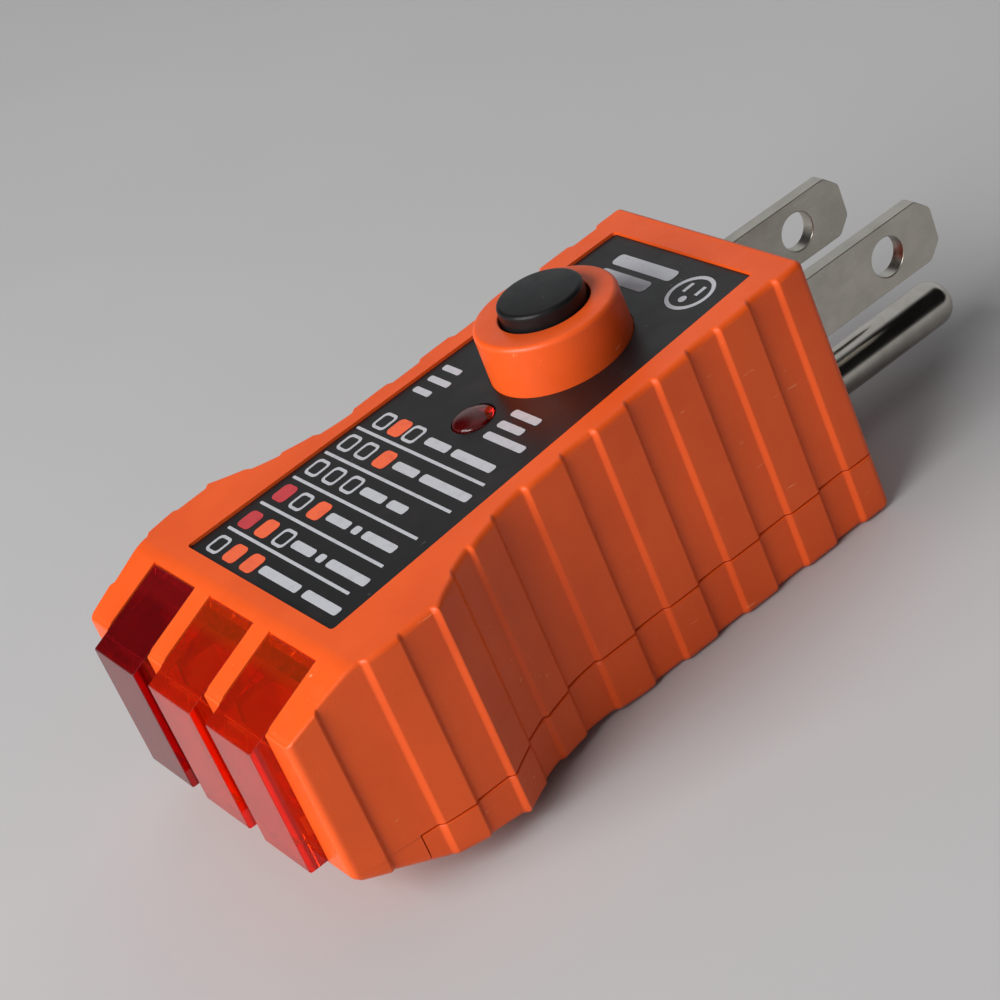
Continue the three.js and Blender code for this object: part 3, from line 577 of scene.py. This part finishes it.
def cavity(floor):
    """The hollow inside both shells, down to a floor given as (y, z) points from front to rear."""
    inset = RIB_DEPTH + WALL
    front, rear = FRONT_Y + WALL, FACE_Y - WALL - REAR_EXTRA
    side = [(half_width(y) - side_draft(y) - inset, y) for y in span(front, rear, 40)]
    plan = side + [(-x, y) for x, y in reversed(side)]
    drop = WALL + 0.15
    roof = [(rear, top_z(rear) - drop), (CREASE_Y, top_z(CREASE_Y) - drop), (front, top_z(front) - drop)]
    body = raw("cavity", prism(plan, "z", CAVITY_FOOT, PAST_TOP))
    combine(body, "INTERSECT", prism(floor + roof, "x", -CAVITY_SIDE, CAVITY_SIDE))
    bm = bmesh.new()
    bm.from_mesh(body.data)
    bpy.data.objects.remove(body)
    return bm


def label_outline(grow):
    front, rear = LABEL_FRONT_Y - grow, LABEL_REAR_Y + grow
    corners = [
        (LABEL_FRONT_HALF + grow, front), (LABEL_REAR_HALF + grow, rear),
        (-LABEL_REAR_HALF - grow, rear), (-LABEL_FRONT_HALF - grow, front),
    ]
    return rounded(corners, 0.35 + grow, 4)


def label_slab(grow_low, grow_high, below, above):
    """A slab that follows the label's slope, with its lower and upper outlines grown apart."""
    bm = bmesh.new()
    lower = [bm.verts.new((x, y, label_z(y) + below)) for x, y in label_outline(grow_low)]
    upper = [bm.verts.new((x, y, label_z(y) + above)) for x, y in label_outline(grow_high)]
    bm.faces.new(lower)
    bm.faces.new(reversed(upper))
    for i in range(len(lower)):
        j = (i + 1) % len(lower)
        bm.faces.new((lower[i], upper[i], upper[j], lower[j]))
    bmesh.ops.recalc_face_normals(bm, faces=bm.faces)
    return bm


def boss_skin():
    """The ring round the button, with a soft outer top edge."""
    outline = rounded(
        [(0, BOSS_ROOT_Z), (BOSS_BASE_R, BOSS_ROOT_Z), (BOSS_TOP_R, BOSS_TOP_Z), (0, BOSS_TOP_Z)],
        [0, 0, 0.5, 0], 8)
    return moved(turned(outline, 128), y=BOSS_Y)


def well_tool():
    """The button's well and the stem's hole under it, with a small round lip."""
    lip = 0.16
    arc = [(WELL_R + lip - lip * math.cos(a), BOSS_TOP_Z - lip + lip * math.sin(a))
           for a in span(0, math.pi / 2, 5)]
    profile = [(0, WELL_FLOOR_Z - 6), (STEM_HOLE_R, WELL_FLOOR_Z - 6), (STEM_HOLE_R, WELL_FLOOR_Z),
               (WELL_R, WELL_FLOOR_Z), *arc, (WELL_R + lip, BOSS_TOP_Z + 2), (0, BOSS_TOP_Z + 2)]
    return moved(turned(profile, 128), y=BOSS_Y)


def upright(x, y, radius, low, high, segments=48):
    return prism(circle(x, y, radius, segments), "z", low, high)


def prong_openings(gap):
    """Cutters for the two blades and the ground pin."""
    tools = []
    for node in ("blade_neutral", "blade_hot"):
        low, high = box_mm(node)
        outline = rounded(rectangle(low.z - gap, high.z + gap, low.x - gap, high.x + gap), 0.2, 3)
        tools.append(prism(outline, "y", low.y - 5, high.y))
    tools.append(pin_opening(gap))
    return tools


def pin_opening(gap):
    return prism(circle(PIN_Z, 0, PIN_R + gap, 64), "y", PIN_LOW.y - 1, PIN_HIGH.y)


def lens_opening(node):
    low, high = box_mm(node)
    back = lens_back(node)
    outline = rectangle(low.x - GAP, high.x + GAP, low.y - 5, back + GAP)
    return prism(outline, "z", low.z - GAP, high.z + 8)


def lens_back(node):
    """Y of a lens's outer back edge: its tongue reaches further in, under the housing."""
    return box_mm(node)[1].y - LENS_TONGUE


LENS_TONGUE = 1.3
LENS_WALL = 2.2
LENS_NODES = ("lens_red", "lens_amber_centre", "lens_amber_side")
SCREW_NODES = ("cover_screw_1", "cover_screw_2")
POST_R = 2.3
# a screw's bore, the play round its head, and how far its head's recess goes in past the head's face
SCREW_BORE_R, SCREW_PLAY, SCREW_SEAT = 1.25, 0.15, 1.45
BOARD_POST_X, BOARD_POST_Y, BOARD_POST_R = 8.5, (-20, -1.5), 1.5


def screw_places():
    for node in SCREW_NODES:
        low, high = box_mm(node)
        yield (low.x + high.x) / 2, (low.y + high.y) / 2, low.z, high.z, (high.x - low.x) / 2


def upper_housing(material):
    body = raw("housing_upper", housing_body())
    below = rectangle(COVER_FRONT_Y, PAST_REAR, PAST_FOOT, PARTING_Z)
    combine(body, "DIFFERENCE", prism(below, "x", -PAST_SIDE, PAST_SIDE))
    front = FRONT_Y + WALL
    floor = [(front, keel_z(front) + WALL - 0.3), (COVER_FRONT_Y, keel_z(COVER_FRONT_Y) + WALL),
             (COVER_FRONT_Y, UNDER_FOOT), (FACE_Y - WALL - REAR_EXTRA, UNDER_FOOT)]
    combine(body, "DIFFERENCE", cavity(floor))
    for x, y, *_ in screw_places():
        combine(body, "UNION", upright(x, y, POST_R, PARTING_Z, top_z(y) - WALL / 2))
    combine(body, "DIFFERENCE", label_slab(LABEL_GAP, LABEL_GAP, -0.43, 0.8))
    combine(body, "UNION", boss_skin())
    combine(body, "DIFFERENCE", well_tool(), upright(0, STATUS_Y, STATUS_R + GAP, 15, PAST_TOP))
    combine(body, "DIFFERENCE", *[lens_opening(node) for node in LENS_NODES])
    combine(body, "DIFFERENCE", *prong_openings(GAP))
    for x, y, _, top, _ in screw_places():
        combine(body, "DIFFERENCE", upright(x, y, SCREW_BORE_R, 0, top + 1, 32))
    return finish_piece(body, material, replaced=["upper_housing"])


def lower_cover(material):
    body = raw("housing_lower", housing_body())
    front = COVER_FRONT_Y + SEAM
    below = rectangle(front, PAST_REAR, PAST_FOOT, PARTING_Z - SEAM)
    combine(body, "INTERSECT", prism(below, "x", -PAST_SIDE, PAST_SIDE))
    inner = front + WALL
    floor = [(inner, keel_z(inner) + WALL), (KEEL_Y, KEEL_Z + WALL), (FLAT_END_Y, WALL),
             (FACE_Y - WALL - REAR_EXTRA, WALL)]
    hollow = raw("hollow", cavity(floor))
    behind = rectangle(inner, PAST_REAR, PAST_FOOT, PAST_TOP)
    combine(hollow, "INTERSECT", prism(behind, "x", -PAST_SIDE, PAST_SIDE))
    hollow_bm = bmesh.new()
    hollow_bm.from_mesh(hollow.data)
    bpy.data.objects.remove(hollow)
    combine(body, "DIFFERENCE", hollow_bm)
    board_low, _ = box_mm("circuit_board")
    for x in (-BOARD_POST_X, BOARD_POST_X):
        for y in BOARD_POST_Y:
            combine(body, "UNION", upright(x, y, BOARD_POST_R, keel_z(y) + 1, board_low.z - 0.1, 32))
    for x, y, head, _, radius in screw_places():
        combine(body, "UNION", upright(x, y, POST_R + 0.6, keel_z(y) + 0.9, PARTING_Z - SEAM))
        combine(body, "DIFFERENCE", upright(x, y, radius + SCREW_PLAY, UNDER_FOOT, head + SCREW_SEAT),
                upright(x, y, SCREW_BORE_R, UNDER_FOOT, 20, 32))
    combine(body, "DIFFERENCE", pin_opening(GAP))
    return finish_piece(body, material, replaced=["lower_cover"])


# ---- label and its printing ------------------------------------------------------
def label_panel(material):
    body = raw("label_plate", soften(label_slab(0, 0, -0.4, 0), 0.07, 2))
    combine(body, "DIFFERENCE", upright(0, BOSS_Y, BOSS_BASE_R + 0.06, 10, PAST_TOP, 128),
            upright(0, STATUS_Y, STATUS_R + GAP, 10, PAST_TOP, 64))
    return finish_piece(body, material, replaced=["label_panel"])


PRINT_HEIGHT = 0.035
PRINT_SINK = 0.02


def print_mark(bm, outline, hole=None):
    """Adds one closed mark of ink to bm. hole is an inner outline with as many points."""
    def ring(points, lift):
        return [bm.verts.new((x, y, label_z(y) + lift)) for x, y in points]

    top, low = ring(outline, PRINT_HEIGHT), ring(outline, -PRINT_SINK)
    count = len(outline)
    for i in range(count):
        j = (i + 1) % count
        bm.faces.new((low[i], low[j], top[j], top[i]))
    if hole is None:
        bm.faces.new(top)
        bm.faces.new(reversed(low))
        return
    inner_top, inner_low = ring(hole, PRINT_HEIGHT), ring(hole, -PRINT_SINK)
    for i in range(count):
        j = (i + 1) % count
        bm.faces.new((top[i], top[j], inner_top[j], inner_top[i]))
        bm.faces.new((low[j], low[i], inner_low[i], inner_low[j]))
        bm.faces.new((inner_low[j], inner_low[i], inner_top[i], inner_top[j]))


def bar(bm, x0, x1, y, height, radius=0.3):
    radius = min(radius, height * 0.49, (x1 - x0) * 0.49)
    print_mark(bm, rounded(rectangle(x0, x1, y - height / 2, y + height / 2), radius, 4))


# chart rows from rear to front: centre Y, lamp signs (o outline, a amber, r red) and word bars in X
CHART = [
    (-11.9, "oao", [(-1.9, 1.6), (2.3, 8.4)]),
    (-15.5, "ooa", [(-2.0, 1.6), (2.3, 9.6)]),
    (-19.2, "ooo", [(-2.0, 1.6), (2.3, 5.0)]),
    (-22.95, "roa", [(-2.1, 1.3), (2.0, 3.0), (3.7, 8.6)]),
    (-26.85, "rao", [(-2.1, 1.3), (2.0, 3.0), (3.7, 9.9)]),
    (-30.4, "oaa", [(-2.1, 4.2), (5.1, 10.6)]),
]
CHART_LINES_Y = (-13.64, -17.39, -21.07, -24.82, -28.48)
CHART_LINE_X = (-10.97, 9.4)
SIGN_X = (-9.6, -6.7, -3.7)
SIGN_X_FIRST = (-8.8, -6.3, -4.0)
SIGN_WIDE, SIGN_LONG, SIGN_LINE, SIGN_ROUND = 2.0, 2.15, 0.3, 0.55


def lamp_sign(marks, kind, x, y):
    w, h = SIGN_WIDE / 2, SIGN_LONG / 2
    outline = rounded(rectangle(x - w, x + w, y - h, y + h), SIGN_ROUND, 6)
    if kind == "o":
        w, h = w - SIGN_LINE, h - SIGN_LINE
        hole = rounded(rectangle(x - w, x + w, y - h, y + h), SIGN_ROUND - SIGN_LINE * 0.7, 6)
        print_mark(marks["white"], outline, hole)
        return
    print_mark(marks["amber" if kind == "a" else "red"], outline)


def receptacle_sign(bm, x, y):
    """A generic grounded receptacle: a ring with two slots and a round hole."""
    print_mark(bm, circle(x, y, 2.4, 64), circle(x, y, 2.0, 64))
    for side in (-1, 1):
        print_mark(bm, rectangle(x + side * 0.85 - 0.2, x + side * 0.85 + 0.2, y - 0.1, y + 1.15))
    print_mark(bm, circle(x, y - 0.95, 0.42, 32))


def label_printing(white, amber, red):
    marks = {name: bmesh.new() for name in ("white", "amber", "red")}
    for row, (y, signs, words) in enumerate(CHART):
        for x, kind in zip(SIGN_X_FIRST if row == 0 else SIGN_X, signs):
            lamp_sign(marks, kind, x, y)
        for x0, x1 in words:
            bar(marks["white"], x0, x1, y, 0.95, 0.3)
    for y in CHART_LINES_Y:
        bar(marks["white"], *CHART_LINE_X, y, 0.3, 0.1)
    for x0, x1, y in ((3.2, 7.2, -5.7), (3.2, 6.8, -7.3), (3.2, 9.0, -8.9)):
        bar(marks["white"], x0, x1, y, 0.85, 0.3)
    for x0, x1, y in ((-10.0, -7.3, -4.0), (-10.1, -6.8, -5.7), (-10.2, -7.6, -7.4)):
        bar(marks["white"], x0, x1, y, 0.7, 0.25)
    receptacle_sign(marks["white"], 5.9, 13.2)
    for x0, x1, y in ((-6.4, 2.3, 14.4), (-6.4, 0.9, 12.2)):
        bar(marks["white"], x0, x1, y, 1.5, 0.5)
    for name, material, slot in (("white", white, "wire_white"), ("amber", amber, "orange_shell"),
                                 ("red", red, "lens_red")):
        bmesh.ops.recalc_face_normals(marks[name], faces=marks[name].faces)
        finish_piece(raw(f"print_{name}", marks[name]), material)


# ---- lenses and status window ------------------------------------------------------
def lens(node, material):
    """An L-shaped lens: a sloping top, a long front wall and a tongue held under the housing."""
    low, high = box_mm(node)
    back = high.y - LENS_TONGUE
    slope_at = lambda y: high.z - NOSE_SLOPE * (back - y)
    inner = low.y + LENS_WALL
    under = high.z - LENS_WALL
    outline = rounded([
        (back, high.z), (low.y, slope_at(low.y)), (low.y, low.z), (inner, low.z),
        (inner, slope_at(inner) - LENS_WALL), (back, under - 0.8), (high.y, under - 0.8),
        (high.y, under + 0.3), (back, under + 0.3),
    ], [0.1, 0.22, 0.25, 0.2, 0.5, 0.1, 0.1, 0.1, 0.1], 5)
    bm = soften(prism(outline, "x", low.x, high.x), 0.16, 3, 50)
    return finish_piece(raw(f"{node}_body", bm), material, replaced=[node], sharp=30)


def status_dome(material):
    """A round window with a low dome that starts level with the label."""
    rim = label_z(STATUS_Y) - 0.05
    dome = 0.6
    arc = [(STATUS_R * math.cos(a), rim + dome * math.sin(a)) for a in span(0, math.pi / 2, 12)]
    profile = [(0, WINDOW_LOW.z), (STATUS_R, WINDOW_LOW.z), *arc[:-1], (0, rim + dome)]
    bm = moved(turned(profile, 64), y=STATUS_Y)
    return finish_piece(raw("status_dome", bm), material, replaced=["status_window"])


# ---- button, plunger and spring ------------------------------------------------------
STEM_R, COLLAR_R, COLLAR_Z, COLLAR_H, BUTTON_BASE_Z = 2.2, 2.9, 21.5, 0.9, 26.4


def push_button(material):
    edge = 0.42
    crown = 0.1
    outline = [(0, BUTTON_LOW.z), (STEM_R, BUTTON_LOW.z), (STEM_R, COLLAR_Z), (COLLAR_R, COLLAR_Z),
               (COLLAR_R, COLLAR_Z + COLLAR_H - 0.2), (STEM_R, COLLAR_Z + COLLAR_H), (STEM_R, BUTTON_BASE_Z),
               (BUTTON_R, BUTTON_BASE_Z), (BUTTON_R, BUTTON_HIGH.z - crown), (0, BUTTON_HIGH.z)]
    radii = [0, 0.2, 0.1, 0.1, 0.05, 0.05, 0.1, 0.2, edge, 0]
    bm = moved(turned(rounded(outline, radii, 6), 128), y=BOSS_Y)
    return finish_piece(raw("push_button", bm), material,
                        body="button", replaced=["button_cap"])


def return_spring(material):
    """A round-wire coil that moves with the button."""
    low, high = box_mm("switch_spring")
    wire = 0.24
    radius = (high.x - low.x) / 2 - wire
    turns, per_turn, sides = 4, 40, 12
    start, end = low.z + wire, high.z - wire
    bm = bmesh.new()
    rings = []
    steps = turns * per_turn
    for i in range(steps + 1):
        t = i / steps
        angle = 2 * math.pi * turns * t
        out = Vector((math.cos(angle), math.sin(angle), 0))
        centre = out * radius + Vector((0, BOSS_Y, start + (end - start) * t))
        ring = []
        for j in range(sides):
            a = 2 * math.pi * j / sides
            ring.append(bm.verts.new(centre + out * wire * math.cos(a) + Vector((0, 0, wire * math.sin(a)))))
        rings.append(ring)
    for here, there in zip(rings, rings[1:]):
        for j in range(sides):
            k = (j + 1) % sides
            bm.faces.new((here[j], here[k], there[k], there[j]))
    bm.faces.new(reversed(rings[0]))
    bm.faces.new(rings[-1])
    obj = finish_piece(raw("return_spring", bm), material,
                       body="button", replaced=["switch_spring"])
    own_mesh(obj)
    return obj


# ---- prongs ------------------------------------------------------------------------
BLADE_CHAMFER, BLADE_HOLE_R, BLADE_HOLE_FROM_TIP, TAB_W, TAB_LONG = 1.48, 1.9, 6.05, 3.0, 3.0


def blade(node, material):
    """A stamped blade with clipped tip corners, a cross hole and rolled edges."""
    low, high = box_mm(node)
    middle = (low.z + high.z) / 2
    tab, back = TAB_W / 2, low.y + TAB_LONG
    clip = BLADE_CHAMFER
    outline = rounded([
        (low.y, middle - tab), (back, middle - tab), (back, low.z), (high.y - clip, low.z),
        (high.y, low.z + clip), (high.y, high.z - clip), (high.y - clip, high.z), (back, high.z),
        (back, middle + tab), (low.y, middle + tab),
    ], [0.1, 0.1, 0.2, 0.8, 0.8, 0.8, 0.8, 0.2, 0.1, 0.1], 6)
    body = raw(f"{node}_plate", soften(prism(outline, "x", low.x, high.x), 0.2, 4, 50))
    x = (low.x + high.x) / 2
    y = high.y - BLADE_HOLE_FROM_TIP
    rim, half = 0.14, (high.x - low.x) / 2
    arc = [(BLADE_HOLE_R + rim - rim * math.cos(a), half - rim + rim * math.sin(a))
           for a in span(0, math.pi / 2, 4)]
    profile = [(0, -half - 1), (BLADE_HOLE_R + rim, -half - 1), *[(r, -z) for r, z in reversed(arc)],
               *arc, (BLADE_HOLE_R + rim, half + 1), (0, half + 1)]
    across = Matrix.Rotation(math.pi / 2, 4, "Y")
    combine(body, "DIFFERENCE", moved(turned(profile, 64), x, y, middle, across))
    return finish_piece(body, material, replaced=[node], sharp=30)


def ground_pin(material):
    """A round pin with a domed tip and a flange behind the face."""
    length = PIN_HIGH.y - PIN_LOW.y
    tip = [(PIN_R * math.cos(a), length - PIN_R * 0.92 + PIN_R * 0.92 * math.sin(a))
           for a in span(0, math.pi / 2, 14)]
    profile = [(0, 0), (PIN_FLANGE_R, 0), (PIN_FLANGE_R, 1.6), (PIN_R, 1.6), *tip[:-1], (0, length)]
    along = Matrix.Rotation(-math.pi / 2, 4, "X")
    bm = moved(turned(profile, 96), 0, PIN_LOW.y, PIN_Z, along)
    return finish_piece(raw("ground_pin_round", bm), material, replaced=["ground_pin"])


# ---- carried-over CAD nodes ------------------------------------------------------------
def paint_nodes():
    """A material for every CAD node that stays in view inside the housing or under it."""
    nylon = moulded("natural_nylon", (0.70, 0.67, 0.58), (0.62, 0.59, 0.50))
    phenolic = moulded("dark_phenolic", (0.022, 0.022, 0.024), (0.04, 0.037, 0.035))
    board = moulded("board_green", (0.010, 0.085, 0.030), (0.016, 0.12, 0.045), (0.3, 0.45), 2.5)
    brass = metal("brass", (0.72, 0.50, 0.20), (0.58, 0.38, 0.15), (0.25, 0.4))
    steel = metal("screw_steel", (0.55, 0.55, 0.54), (0.42, 0.41, 0.40), (0.22, 0.38), (1, 1, 1), 0.3)
    tan = moulded("resistor_tan", (0.52, 0.36, 0.18), (0.45, 0.30, 0.15))
    blue = moulded("resistor_blue", (0.11, 0.24, 0.38), (0.08, 0.19, 0.32))
    diode = moulded("diode_black", (0.02, 0.02, 0.022), (0.035, 0.035, 0.035), (0.3, 0.4))
    lamp_red = moulded("lamp_red", (0.42, 0.03, 0.03), (0.33, 0.02, 0.02), (0.12, 0.2), 2, 0.004)
    lamp_amber = moulded("lamp_amber", (0.80, 0.30, 0.06), (0.70, 0.24, 0.05), (0.12, 0.2), 2, 0.004)
    wires = {
        "lead_neutral": moulded("wire_white", (0.72, 0.70, 0.66), (0.62, 0.60, 0.56)),
        "lead_hot": moulded("wire_black", (0.018, 0.018, 0.02), (0.03, 0.03, 0.03)),
        "lead_ground": moulded("wire_green", (0.03, 0.22, 0.06), (0.02, 0.17, 0.05)),
    }
    looks = {
        "switch_plunger": nylon, "lamp_partition": nylon, "switch_housing": phenolic,
        "prong_carrier": phenolic, "circuit_board": board, "contact_bridge": brass,
        "switch_terminal_left": brass, "switch_terminal_right": brass, "cover_screw_1": steel,
        "cover_screw_2": steel, "test_resistor": tan, "dropping_resistor_1": blue,
        "dropping_resistor_2": blue, "dropping_resistor_3": blue, "diode_one": diode,
        "diode_two": diode, "lamp_red": lamp_red, "lamp_amber_centre": lamp_amber,
        "lamp_amber_side": lamp_amber, "status_lamp": lamp_red, **wires,
    }
    for name, material in looks.items():
        materials = NODES[name].data.materials
        materials.clear()
        materials.append(material)


# ---- stage: floor, light and camera --------------------------------------------------
def sweep_floor():
    """A pale floor with a low curved rim far from the object."""
    flat, rim, sides = 1200, 40, 96
    arc = [(flat + rim * math.sin(a), rim - rim * math.cos(a)) for a in span(0, math.pi / 2, 8)]
    bm = bmesh.new()
    rings = [[bm.verts.new((0, 0, 0))]]
    for r, z in [(flat * 0.5, 0), *arc]:
        rings.append([bm.verts.new((x, y, z)) for x, y in circle(0, 0, r, sides)])
    for lower, upper in zip(rings, rings[1:]):
        for i in range(sides):
            j = (i + 1) % sides
            corners = [lower[i % len(lower)], upper[i], upper[j], lower[j % len(lower)]]
            bm.faces.new(list(dict.fromkeys(corners)))
    obj = raw("floor", bm)
    obj.data.transform(Matrix.Scale(MM, 4))
    obj.data.shade_smooth()
    obj.location.z = -0.00003
    m = Shader("floor_pale")
    m.colour(m.mix(m.remap(m.noise(60, detail=2), 0.3, 0.7), (0.530, 0.530, 0.534), (0.515, 0.515, 0.519)))
    m.roughness(0.75, 0.9, 20)
    obj.data.materials.append(m.material)


def soft_light(name, direction, distance, size, power, colour=(1, 1, 1)):
    """A square soft box that faces the object from a direction."""
    data = bpy.data.lights.new(name, "AREA")
    data.shape = "RECTANGLE"
    data.size, data.size_y = size
    data.energy = power
    data.color = colour
    obj = bpy.data.objects.new(name, data)
    way = Vector(direction).normalized()
    obj.location = way * distance
    obj.rotation_euler = way.to_track_quat("Z", "Y").to_euler()
    bpy.context.scene.collection.objects.link(obj)


# parts of the room: direction, cosines where the part starts and is full, and its strength
ROOM = 0.30
ROOM_PARTS = [
    ((-0.50, 0.65, 0.57), 0.55, 0.90, 0.56),
    ((0.54, 0.64, 0.54), 0.72, 0.88, 0.008),
    ((-0.78, -0.22, 0.60), 0.80, 0.955, 0.03),
]


def lighting():
    """One large soft box in front of the lamps, and a dim room with a bright part and two dark ones."""
    soft_light("key", (0.074, -0.845, 0.53), 0.85, (0.75, 0.60), 10.3, (1.0, 0.985, 0.97))
    world = bpy.data.worlds.new("room")
    world.use_nodes = True
    tree = world.node_tree
    place = tree.nodes.new("ShaderNodeTexCoord")
    strength = None
    for direction, start, full, level in ROOM_PARTS:
        towards = tree.nodes.new("ShaderNodeVectorMath")
        towards.operation = "DOT_PRODUCT"
        towards.inputs[1].default_value = Vector(direction).normalized()
        tree.links.new(place.outputs["Generated"], towards.inputs[0])
        part = tree.nodes.new("ShaderNodeMapRange")
        part.interpolation_type = "SMOOTHSTEP"
        part.inputs["From Min"].default_value = start
        part.inputs["From Max"].default_value = full
        part.inputs["To Min"].default_value = ROOM
        part.inputs["To Max"].default_value = level
        tree.links.new(towards.outputs["Value"], part.inputs["Value"])
        if strength is not None:
            tree.links.new(strength, part.inputs["To Min"])
        strength = part.outputs["Result"]
    background = tree.nodes["Background"]
    background.inputs["Color"].default_value = (0.96, 0.98, 1.0, 1)
    tree.links.new(strength, background.inputs["Strength"])
    bpy.context.scene.world = world


# camera: its place in metres, what is right and up in its view, and its lens
CAMERA_AT = (0.1864, -0.09305, 0.1345)
CAMERA_RIGHT, CAMERA_UP = (0.5586, 0.7570, -0.3391), (-0.2584, 0.5473, 0.7961)
SENSOR_MM, FOCAL_MM = 36, 97.11


def camera():
    """A long lens that looks down on the front, the top and the +x side."""
    data = bpy.data.cameras.new("camera")
    data.sensor_width = SENSOR_MM
    data.lens = FOCAL_MM
    data.clip_start = 0.01
    obj = bpy.data.objects.new("camera", data)
    right = Vector(CAMERA_RIGHT).normalized()
    up = Vector(CAMERA_UP).normalized()
    back = right.cross(up).normalized()
    up = back.cross(right)
    turn = Matrix((right, up, back)).transposed().to_4x4()
    obj.matrix_world = Matrix.Translation(CAMERA_AT) @ turn
    bpy.context.scene.collection.objects.link(obj)
    bpy.context.scene.camera = obj


# ---- everything in its place -----------------------------------------------------------
camera()
lighting()
sweep_floor()

shell = orange_shell()
upper_housing(shell)
lower_cover(shell)
label_panel(label_black())
label_printing(
    printed("ink_white", (0.52, 0.53, 0.57), (0.42, 0.42, 0.45)),
    printed("ink_amber", (0.90, 0.135, 0.045), (0.72, 0.10, 0.04)),
    printed("ink_red", (0.56, 0.045, 0.055), (0.45, 0.035, 0.045)),
)
# each lens's third colour is for its pale flecks and its back end painted lighter, painted light for the lit
# wall seen through it
red_lens = lens_clear("lens_red", (0.46, 0.004, 0.009), (0.38, 0.003, 0.007), (0.60, 0.010, 0.016))
amber_lens = lens_clear("lens_amber", (0.98, 0.050, 0.003), (0.90, 0.034, 0.003), (1.0, 0.085, 0.004))
lens("lens_red", red_lens)
lens("lens_amber_centre", amber_lens)
lens("lens_amber_side", amber_lens)
status_dome(lens_clear("lens_status", (0.30, 0.006, 0.009), (0.24, 0.005, 0.007)))
push_button(button_black())
return_spring(metal("spring_steel", (0.60, 0.60, 0.60), (0.48, 0.48, 0.47), (0.2, 0.32)))
nickel = metal("nickel_blade", (0.55, 0.52, 0.46), (0.47, 0.445, 0.39), (0.26, 0.38), (1, 6, 1), 0.4)
for blade_node in ("blade_neutral", "blade_hot"):
    blade(blade_node, nickel)
ground_pin(metal("nickel_pin", (0.56, 0.53, 0.48), (0.47, 0.44, 0.39), (0.12, 0.2), (1, 8, 1), 0.4, 0.002))
paint_nodes()

view = bpy.context.scene.view_settings
view.view_transform = "Standard"
view.look = "None"
